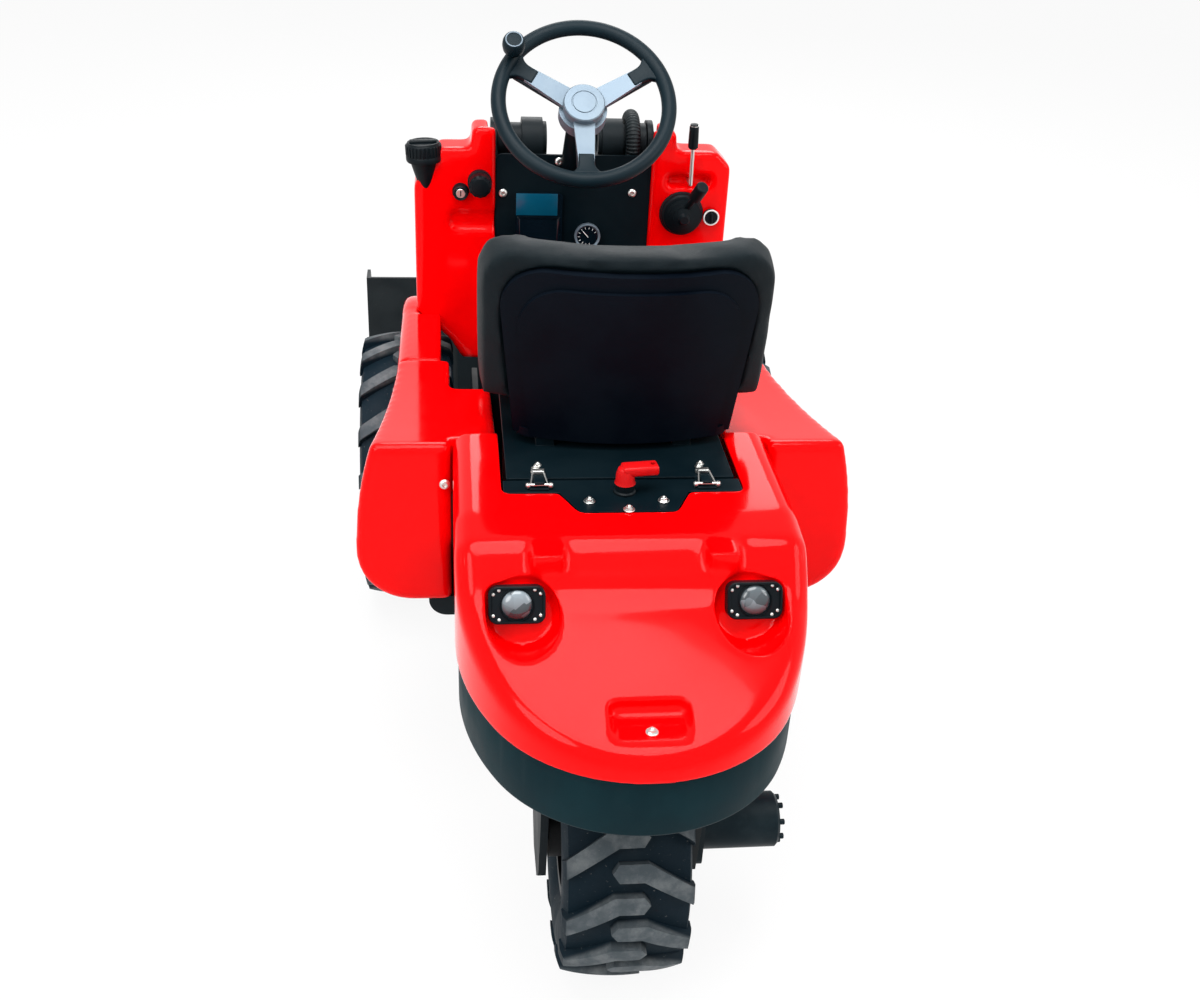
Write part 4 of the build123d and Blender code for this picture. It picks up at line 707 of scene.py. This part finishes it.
def makeLatches(values):
    sides = [Matrix.Translation(spot((side * values["x"], 0, values["deck"]))) for side in (-1, 1)]
    plate = block(values["plate"], values["plateAt"], values["plateEdge"], 2)
    tongue = block(values["tongue"], values["tongueAt"], values["tongueEdge"])
    pulled(tongue, lambda face: face.normal.y < -0.9, values["tongueLip"])
    dressed(patterned(joined([plate, tongue]), sides), "latch_plates", "chassis", blackPaint,
            ("lid_latches",))
    pinY, pinZ, half = values["pinY"], values["pinZ"], values["pinHalf"]
    foot, top = values["bailFoot"], values["bailTop"]
    bailY, bailZ = values["bailY"], values["bailZ"]
    wires = [rod((-half, pinY, pinZ), (half, pinY, pinZ), values["pin"])]
    ball = turned(scaled(values["ballSteps"], values["ball"]), 20)
    ballPlaces = [Matrix.Translation((side * half, pinY, values["ballZ"])) for side in (-1, 1)]
    wires.append(patterned(ball, ballPlaces))
    for side in (-1, 1):
        wires.append(rod((side * foot, pinY, pinZ), (side * top, bailY, bailZ), values["wire"]))
    wires.append(rod((-top, bailY, bailZ), (top, bailY, bailZ), values["wire"]))
    dressed(patterned(joined(wires), sides), "latch_wires", "chassis", zincPlate)
    catch = block(values["catch"], values["catchAt"], values["catchEdge"], 2)
    pulled(catch, lambda face: face.normal.z > 0.9, values["catchLip"])
    nuts = patterned(makeBolt(values["nut"]), [Matrix.Translation(place) for place in values["nutPlaces"]])
    dressed(patterned(joined([catch, nuts]), sides), "latch_catches", "seat", zincPlate)


makeLatches(latchValues)

keyValues = {
    "at": (0, 0.109, 0.778), "turn": 0.12,
    "base": ((0.0165, 0), (0.0165, 0.003), (0.0145, 0.005), (0.0145, 0.016), (0.0115, 0.018)),
    "stem": ((0.0157, 0.016), (0.0142, 0.020), (0.013916, 0.031), (0.01136, 0.039), (0.00568, 0.0425)),
    "handle": (0.054, 0.024, 0.015), "handleAt": (0.021, 0, 0.037), "handleEdge": 0.004,
    "hole": ((0.0036, -0.02), (0.0036, 0.02)), "holeAt": (0.040, 0, 0.037),
}


def makeKey(values):
    foot = Matrix.Translation(spot(values["at"]))
    dressed(moved(turned(values["base"]), foot), "key_base", "chassis", mouldBlack)
    stem = turned(values["stem"])
    handle = block(values["handle"], values["handleAt"], values["handleEdge"], 4)
    drill = moved(turned(values["hole"], 20), Matrix.Translation(values["holeAt"]))
    key = moved(joined([stem, cut(handle, drill)]), foot @ Matrix.Rotation(values["turn"], 4, "Z"))
    dressed(key, "key_handle", "chassis", keyRed, ("isolator_key",))


makeKey(keyValues)
print("latches and key in place")


# Steering wheel trim

wheelValues = {
    "ring": 0.158, "dish": 0.018, "spokes": (30, 150, 270), "spinner": 145, "cap": 0.0385,
    "trim": ((1, -0.012), (1, 0.0008), (0.95, 0.0026), (0.62, 0.003), (0.6, 0.0016), (0.56, 0.0016),
             (0.54, 0.0032), (0.1, 0.0038)),
    "end": (0.012, 0.029, 0.0125), "endAt": (0.110, 0, 0), "endEdge": 0.003,
    "flare": ((0.012, 1.03), (0.008, 1.18), (0.006, 1.3), (0.006, 1.35)), "thicken": 1.05,   # reach, width
    "core": (0.108, 0.034, 0.009), "coreAt": (0.088, 0, -0.010), "coreEdge": 0.003,
    "knob": ((0.008, 0.008), (0.008, 0.019), (0.015, 0.023), (0.0195, 0.031), (0.021, 0.041), (0.0205, 0.050),
             (0.0185, 0.056), (0.0165, 0.0585), (0.0155, 0.0575), (0.006, 0.0585)),
    "band": (0.0148, 0.0014), "bandZ": 0.0584,
}
wheelJoint = joints["steering_wheel_turn"]
wheelAxis = -Vector(wheelJoint["axis"])
wheelAcross = Vector((1, 0, 0))
wheelWays = Matrix((wheelAcross, wheelAxis.cross(wheelAcross), wheelAxis)).transposed().to_4x4()
wheelTurn = Matrix.Translation(Vector(wheelJoint["pos_m"])) @ wheelWays


def makeWheelTrim(values):
    trim = turned([(values["cap"] * share, height) for share, height in values["trim"]], 64)
    dressed(moved(trim, wheelTurn), "hub_trim", "steering_wheel", spokeMetal)
    end = block(values["end"], values["endAt"])
    for reach, wide in values["flare"]:
        selectFaces(end, lambda face: face.normal.x > 0.9)
        bpy.ops.mesh.extrude_region_move(TRANSFORM_OT_translate={"value": (reach, 0, 0)})
        bpy.ops.transform.resize(value=(1, wide, values["thicken"]))
        bpy.ops.object.mode_set(mode="OBJECT")
    editAll(end)
    bpy.ops.mesh.bevel(offset=values["endEdge"], segments=3, affect="EDGES")
    bpy.ops.object.mode_set(mode="OBJECT")
    core = block(values["core"], values["coreAt"], values["coreEdge"], 2)
    end = joined([smoothed(outward(end), 50), core])
    sink = Matrix.Translation((0, 0, -values["dish"]))
    lean = Matrix.Rotation(-math.atan2(values["dish"], values["ring"]), 4, "Y")
    turns = [Matrix.Rotation(math.radians(angle), 4, "Z") for angle in values["spokes"]]
    places = [wheelTurn @ (sink @ turn @ lean) for turn in turns]
    dressed(patterned(end, places), "spoke_ends", "steering_wheel", gripRubber)
    spinnerTurn = wheelTurn @ Matrix.Rotation(math.radians(values["spinner"]), 4, "Z")
    post = spinnerTurn @ Matrix.Translation((values["ring"], 0, 0))
    knob = moved(turned(values["knob"], 40), post)
    dressed(knob, "spinner_grip", "steering_wheel", gripRubber, ("spinner_knob",))
    band = moved(ringOf(*values["band"], 40, 8), post @ Matrix.Translation((0, 0, values["bandZ"])))
    dressed(band, "spinner_band", "steering_wheel", spokeMetal)


makeWheelTrim(wheelValues)
print("steering wheel trimmed")


# Dash and console fittings

dashValues = {
    "screen": (0.084, 0.002, 0.045), "screenAt": (-0.073, 1.061, 0.8995), "screenEdge": 0.0009,
    "cover": (0.086, 0.003, 0.058), "coverAt": (-0.069, 1.061, 0.845), "coverEdge": 0.0012,
    "border": 0.004, "sink": 0.001, "gaugeAt": (0.032, 1.062, 0.834),
    "band": ((0.0265, -0.006), (0.0265, 0.003), (0.025, 0.005), (0.0225, 0.003), (0.022, 0.0005)),
    "dial": ((0.0215, -0.001), (0.0215, 0.0007), (0.0205, 0.0009)),
    "tick": (0.0045, 0.0009, 0.0008), "tickAt": (0.0175, 0, 0.0011), "tickEdge": 0.0002,
    "ticks": 11, "firstTick": 0.5, "tickStep": 0.45,
    "needle": (0.017, 0.0014, 0.001), "needleAt": (0.006, 0, 0.0018), "needleEdge": 0.0003, "needleTurn": 2.3,
}


def makeDash(values):
    screen = block(values["screen"], spot(values["screenAt"]), values["screenEdge"], 2)
    dressed(screen, "display_screen", "chassis", screenBlue)
    cover = block(values["cover"], spot(values["coverAt"]), values["coverEdge"], 2)
    selectFaces(cover, lambda face: face.normal.y < -0.9)
    bpy.ops.mesh.inset(thickness=values["border"])
    bpy.ops.transform.translate(value=(0, values["sink"], 0))
    bpy.ops.object.mode_set(mode="OBJECT")
    dressed(smoothed(cover), "display_cover", "chassis", displayGlass)
    gaugeTurn = seat(spot(values["gaugeAt"]), faceBack)
    dressed(moved(turned(values["band"], 48), gaugeTurn), "gauge_band", "chassis", spokeMetal)
    dressed(moved(turned(values["dial"], 48), gaugeTurn), "gauge_dial", "chassis", displayGlass)
    tick = block(values["tick"], (0, 0, 0), values["tickEdge"], 1)
    angles = [values["firstTick"] + values["tickStep"] * step for step in range(values["ticks"])]
    places = [Matrix.Rotation(angle, 4, "Z") @ Matrix.Translation(values["tickAt"]) for angle in angles]
    marks = patterned(tick, places)
    needle = block(values["needle"], values["needleAt"], values["needleEdge"], 1)
    moved(needle, Matrix.Rotation(values["needleTurn"], 4, "Z"))
    dressed(moved(joined([marks, needle]), gaugeTurn), "gauge_marks", "chassis", whitePaint)


def ribbed(steps, ribSize, ribRadius, ribHeight, count, segments=32):   # round knob with grip ribs
    core = turned(steps, segments)
    rib = block(ribSize, (0, 0, ribHeight), min(ribSize) * 0.3, 2)
    return joined([core, patterned(rib, around(count, ribRadius))])


controlValues = {
    "face": 1.060,
    "places": {"fluted": (-0.188, 0.946), "key": (-0.226, 0.926), "ringed": (0.283, 0.881),
               "boot": (0.222, 0.886)},
    "grip": ((0.024, 0), (0.024, 0.010), (0.0195, 0.012), (0.0195, 0.038), (0.0165, 0.0425), (0.008, 0.044)),
    "gripRibs": ((0.006, 0.007, 0.026), 0.0195, 0.026, 12),   # size, circle, height, count
    "barrel": ((0.0165, 0), (0.0165, 0.006), (0.0145, 0.009), (0.0145, 0.0175), (0.0125, 0.019),
               (0.010, 0.0175)),
    "plug": ((0.0092, 0.012), (0.0092, 0.0185), (0.0085, 0.0192)),
    "slot": (0.0022, 0.011, 0.006), "slotAt": (0, 0, 0.0195), "slotEdge": 0.0004,
    "band": (0.0150, 0.0017), "bandZ": 0.0125,
    "wing": (0.005, 0.021, 0.008), "wingAt": (0, 0, 0.016), "wingEdge": 0.0018,
    "bellows": ((0.0450, 0), (0.0450, 0.004), (0.0425, 0.0055), (0.0425, 0.010), (0.0385, 0.0185),
                (0.0330, 0.0195), (0.0345, 0.0245), (0.0275, 0.0265), (0.0285, 0.031), (0.0205, 0.033),
                (0.0210, 0.0375), (0.0125, 0.040), (0.0080, 0.048)),
}


def makeControls(values):
    at = {name: seat(spot((x, values["face"], z)), faceBack) for name, (x, z) in values["places"].items()}
    fluted = ribbed(values["grip"], *values["gripRibs"])
    dressed(moved(fluted, at["fluted"]), "fluted_grip", "chassis", mouldBlack)
    dressed(moved(turned(values["barrel"]), at["key"]), "key_barrel", "chassis", mouldBlack)
    plug = turned(values["plug"], 28)
    cut(plug, block(values["slot"], values["slotAt"], values["slotEdge"], 1))
    dressed(moved(plug, at["key"]), "key_plug", "chassis", zincPlate)
    band = moved(ringOf(*values["band"], 40, 8), at["ringed"] @ Matrix.Translation((0, 0, values["bandZ"])))
    dressed(band, "knob_band", "chassis", whitePaint)
    wing = block(values["wing"], values["wingAt"], values["wingEdge"])
    dressed(moved(wing, at["ringed"]), "knob_wing", "chassis", mouldBlack)
    bellows = turned(values["bellows"], 48)
    dressed(moved(bellows, at["boot"]), "boot_bellows", "chassis", mouldBlack)


capValues = {
    "at": (-0.2967, 1.074, 0.982), "lean": math.radians(3),
    "rim": ((0.0352, 0.002), (0.0356, 0.004), (0.0356, 0.010), (0.0344, 0.012)),
    "ribs": ((0.0030, 0.0045, 0.020), 0.0342, 0.022, 28),   # size, circle, height, count
    "bar": (0.054, 0.015, 0.008), "barAt": (0, 0, 0.0375), "barEdge": 0.003,
    "lip": (0.030, 0.0022), "lipZ": 0.0352,
}


def makeCap(values):                  # grip of the filler cap
    capTurn = seat(spot(values["at"]), (-math.sin(values["lean"]), 0, math.cos(values["lean"])))
    rim = ribbed(values["rim"], *values["ribs"], 48)
    bar = block(values["bar"], values["barAt"], values["barEdge"])
    lip = moved(ringOf(*values["lip"], 48, 8), Matrix.Translation((0, 0, values["lipZ"])))
    dressed(moved(joined([rim, bar, lip]), capTurn), "cap_grip", "chassis", mouldBlack)


leverValues = {"foot": (0.232, 1.038, 1.0265), "top": (0.2307, 1.0345, 1.0725),
               "grip": ((0.0072, -0.002), (0.0098, 0.0005), (0.0102, 0.004), (0.0096, 0.03), (0.0092, 0.044),
                        (0.0076, 0.0475), (0.003, 0.0488))}


def makeLever(values):                # grip of the hand lever
    way = (Vector(values["top"]) - Vector(values["foot"])).normalized()
    grip = moved(turned(values["grip"], 28), seat(spot(values["foot"]), way))
    dressed(grip, "lever_grip", "chassis", mouldBlack)


makeDash(dashValues)
makeControls(controlValues)
makeCap(capValues)
makeLever(leverValues)
print("dash and console fittings in place")


# Corrugated sleeve on the boom's hose

hoseValues = {"x": 0.121, "pivot": (1.150, 1.005), "bend": 0.050, "front": math.radians(26.4),
              "rear": math.radians(205.0), "run": 0.284, "pitch": 0.0058, "radius": 0.0128, "wire": 0.0026}


def makeHose(values):
    pivot = spot((values["x"], *values["pivot"]))
    front, sweep = values["front"], values["rear"] - values["front"]
    places = []
    arcSteps = int(values["bend"] * sweep / values["pitch"])
    for step in range(arcSteps + 1):
        angle = front + sweep * step / arcSteps
        out = Vector((0, math.cos(angle), math.sin(angle)))
        places.append(seat(pivot + out * values["bend"], Vector((0, -out.z, out.y))))
    out = Vector((0, math.cos(front), math.sin(front)))
    along = Vector((0, out.z, -out.y))
    for step in range(1, int(values["run"] / values["pitch"])):
        places.append(seat(pivot + out * values["bend"] + along * values["pitch"] * step, along))
    rings = patterned(ringOf(values["radius"], values["wire"], 24, 6), places)
    dressed(rings, "hose_rings", "boom", hoseRubber)


makeHose(hoseValues)
print("hose ringed")


# Camera, floor and light

cameraValues = {"rearAxleToOrigin": 0.8795, "place": (-0.2547, -1.5948, 1.7611), "yaw": 0.128,
                "pitch": 0.5256, "roll": 0.0533, "lens": 40.64, "sensor": 36.0, "reach": 200.0}


def makeCamera(values):
    yaw, pitch, roll = values["yaw"], values["pitch"], values["roll"]
    ahead = Vector((math.sin(yaw) * math.cos(pitch), math.cos(yaw) * math.cos(pitch), -math.sin(pitch)))
    right = Vector((math.cos(yaw), -math.sin(yaw), 0))
    up = right.cross(ahead)
    across = right * math.cos(roll) + up * math.sin(roll)
    above = up * math.cos(roll) - right * math.sin(roll)
    clearSelection()
    place = Vector(values["place"]) - Vector((0, values["rearAxleToOrigin"], 0))
    bpy.ops.object.camera_add(location=place)
    camera = bpy.context.object
    camera.rotation_euler = Matrix((across, above, -ahead)).transposed().to_euler()
    camera.data.lens = values["lens"]
    camera.data.sensor_width = values["sensor"]
    camera.data.clip_end = values["reach"]
    bpy.context.scene.camera = camera


def seenStraight(tree):               # 1 for rays that show the background itself
    path = tree.nodes.new("ShaderNodeLightPath")
    seen = mathIn(tree, "MAXIMUM", path.outputs["Is Camera Ray"], path.outputs["Is Glossy Ray"])
    return mathIn(tree, "MAXIMUM", seen, path.outputs["Is Transmission Ray"])


stageValues = {
    "floorSize": 80.0, "floorColour": (0.9, 0.9, 0.9, 1), "floorGlow": 0.9, "ambient": 0.5,
    "aim": (0, 0, 0.6),
    "lamps": (("topLamp", (-0.3, -1.2, 4.6), 3.4, 230.0),   # name, place, size, power
              ("keyLamp", (-2.8, -3.2, 3.4), 2.6, 120.0),
              ("fillLamp", (3.4, -1.8, 2.8), 2.4, 70.0), ("frontLamp", (0.6, 4.2, 3.8), 3.0, 110.0)),
}


def makeStage(values):
    clearSelection()
    bpy.ops.mesh.primitive_plane_add(size=values["floorSize"])
    floor = bpy.context.object
    floor.name = "floor"
    material = bpy.data.materials.new("paleFloor")
    material.use_nodes = True
    tree = material.node_tree
    tree.nodes.clear()
    matt = tree.nodes.new("ShaderNodeBsdfDiffuse")
    matt.inputs["Color"].default_value = values["floorColour"]
    glow = tree.nodes.new("ShaderNodeEmission")
    blendNode = tree.nodes.new("ShaderNodeMixShader")
    output = tree.nodes.new("ShaderNodeOutputMaterial")
    tree.links.new(mathIn(tree, "MULTIPLY", seenStraight(tree), values["floorGlow"]), blendNode.inputs[0])
    tree.links.new(matt.outputs[0], blendNode.inputs[1])
    tree.links.new(glow.outputs[0], blendNode.inputs[2])
    tree.links.new(blendNode.outputs[0], output.inputs["Surface"])
    floor.data.materials.append(material)
    world = bpy.data.worlds.new("studio")
    bpy.context.scene.world = world
    world.use_nodes = True
    tree = world.node_tree
    background = tree.nodes["Background"]
    background.inputs["Color"].default_value = (1, 1, 1, 1)
    strength = mapIn(tree, seenStraight(tree), 0.0, 1.0, values["ambient"], 1.0)
    tree.links.new(strength, background.inputs["Strength"])
    for name, place, size, power in values["lamps"]:
        bpy.ops.object.light_add(type="AREA", location=place)
        lamp = bpy.context.object
        lamp.name = name
        lamp.data.shape = "DISK"
        lamp.data.size = size
        lamp.data.energy = power
        lamp.rotation_euler = (Vector(values["aim"]) - Vector(place)).to_track_quat("-Z", "Y").to_euler()
    bpy.context.scene.view_settings.view_transform = "Standard"


makeCamera(cameraValues)
makeStage(stageValues)
print("camera, floor and lamps in place")
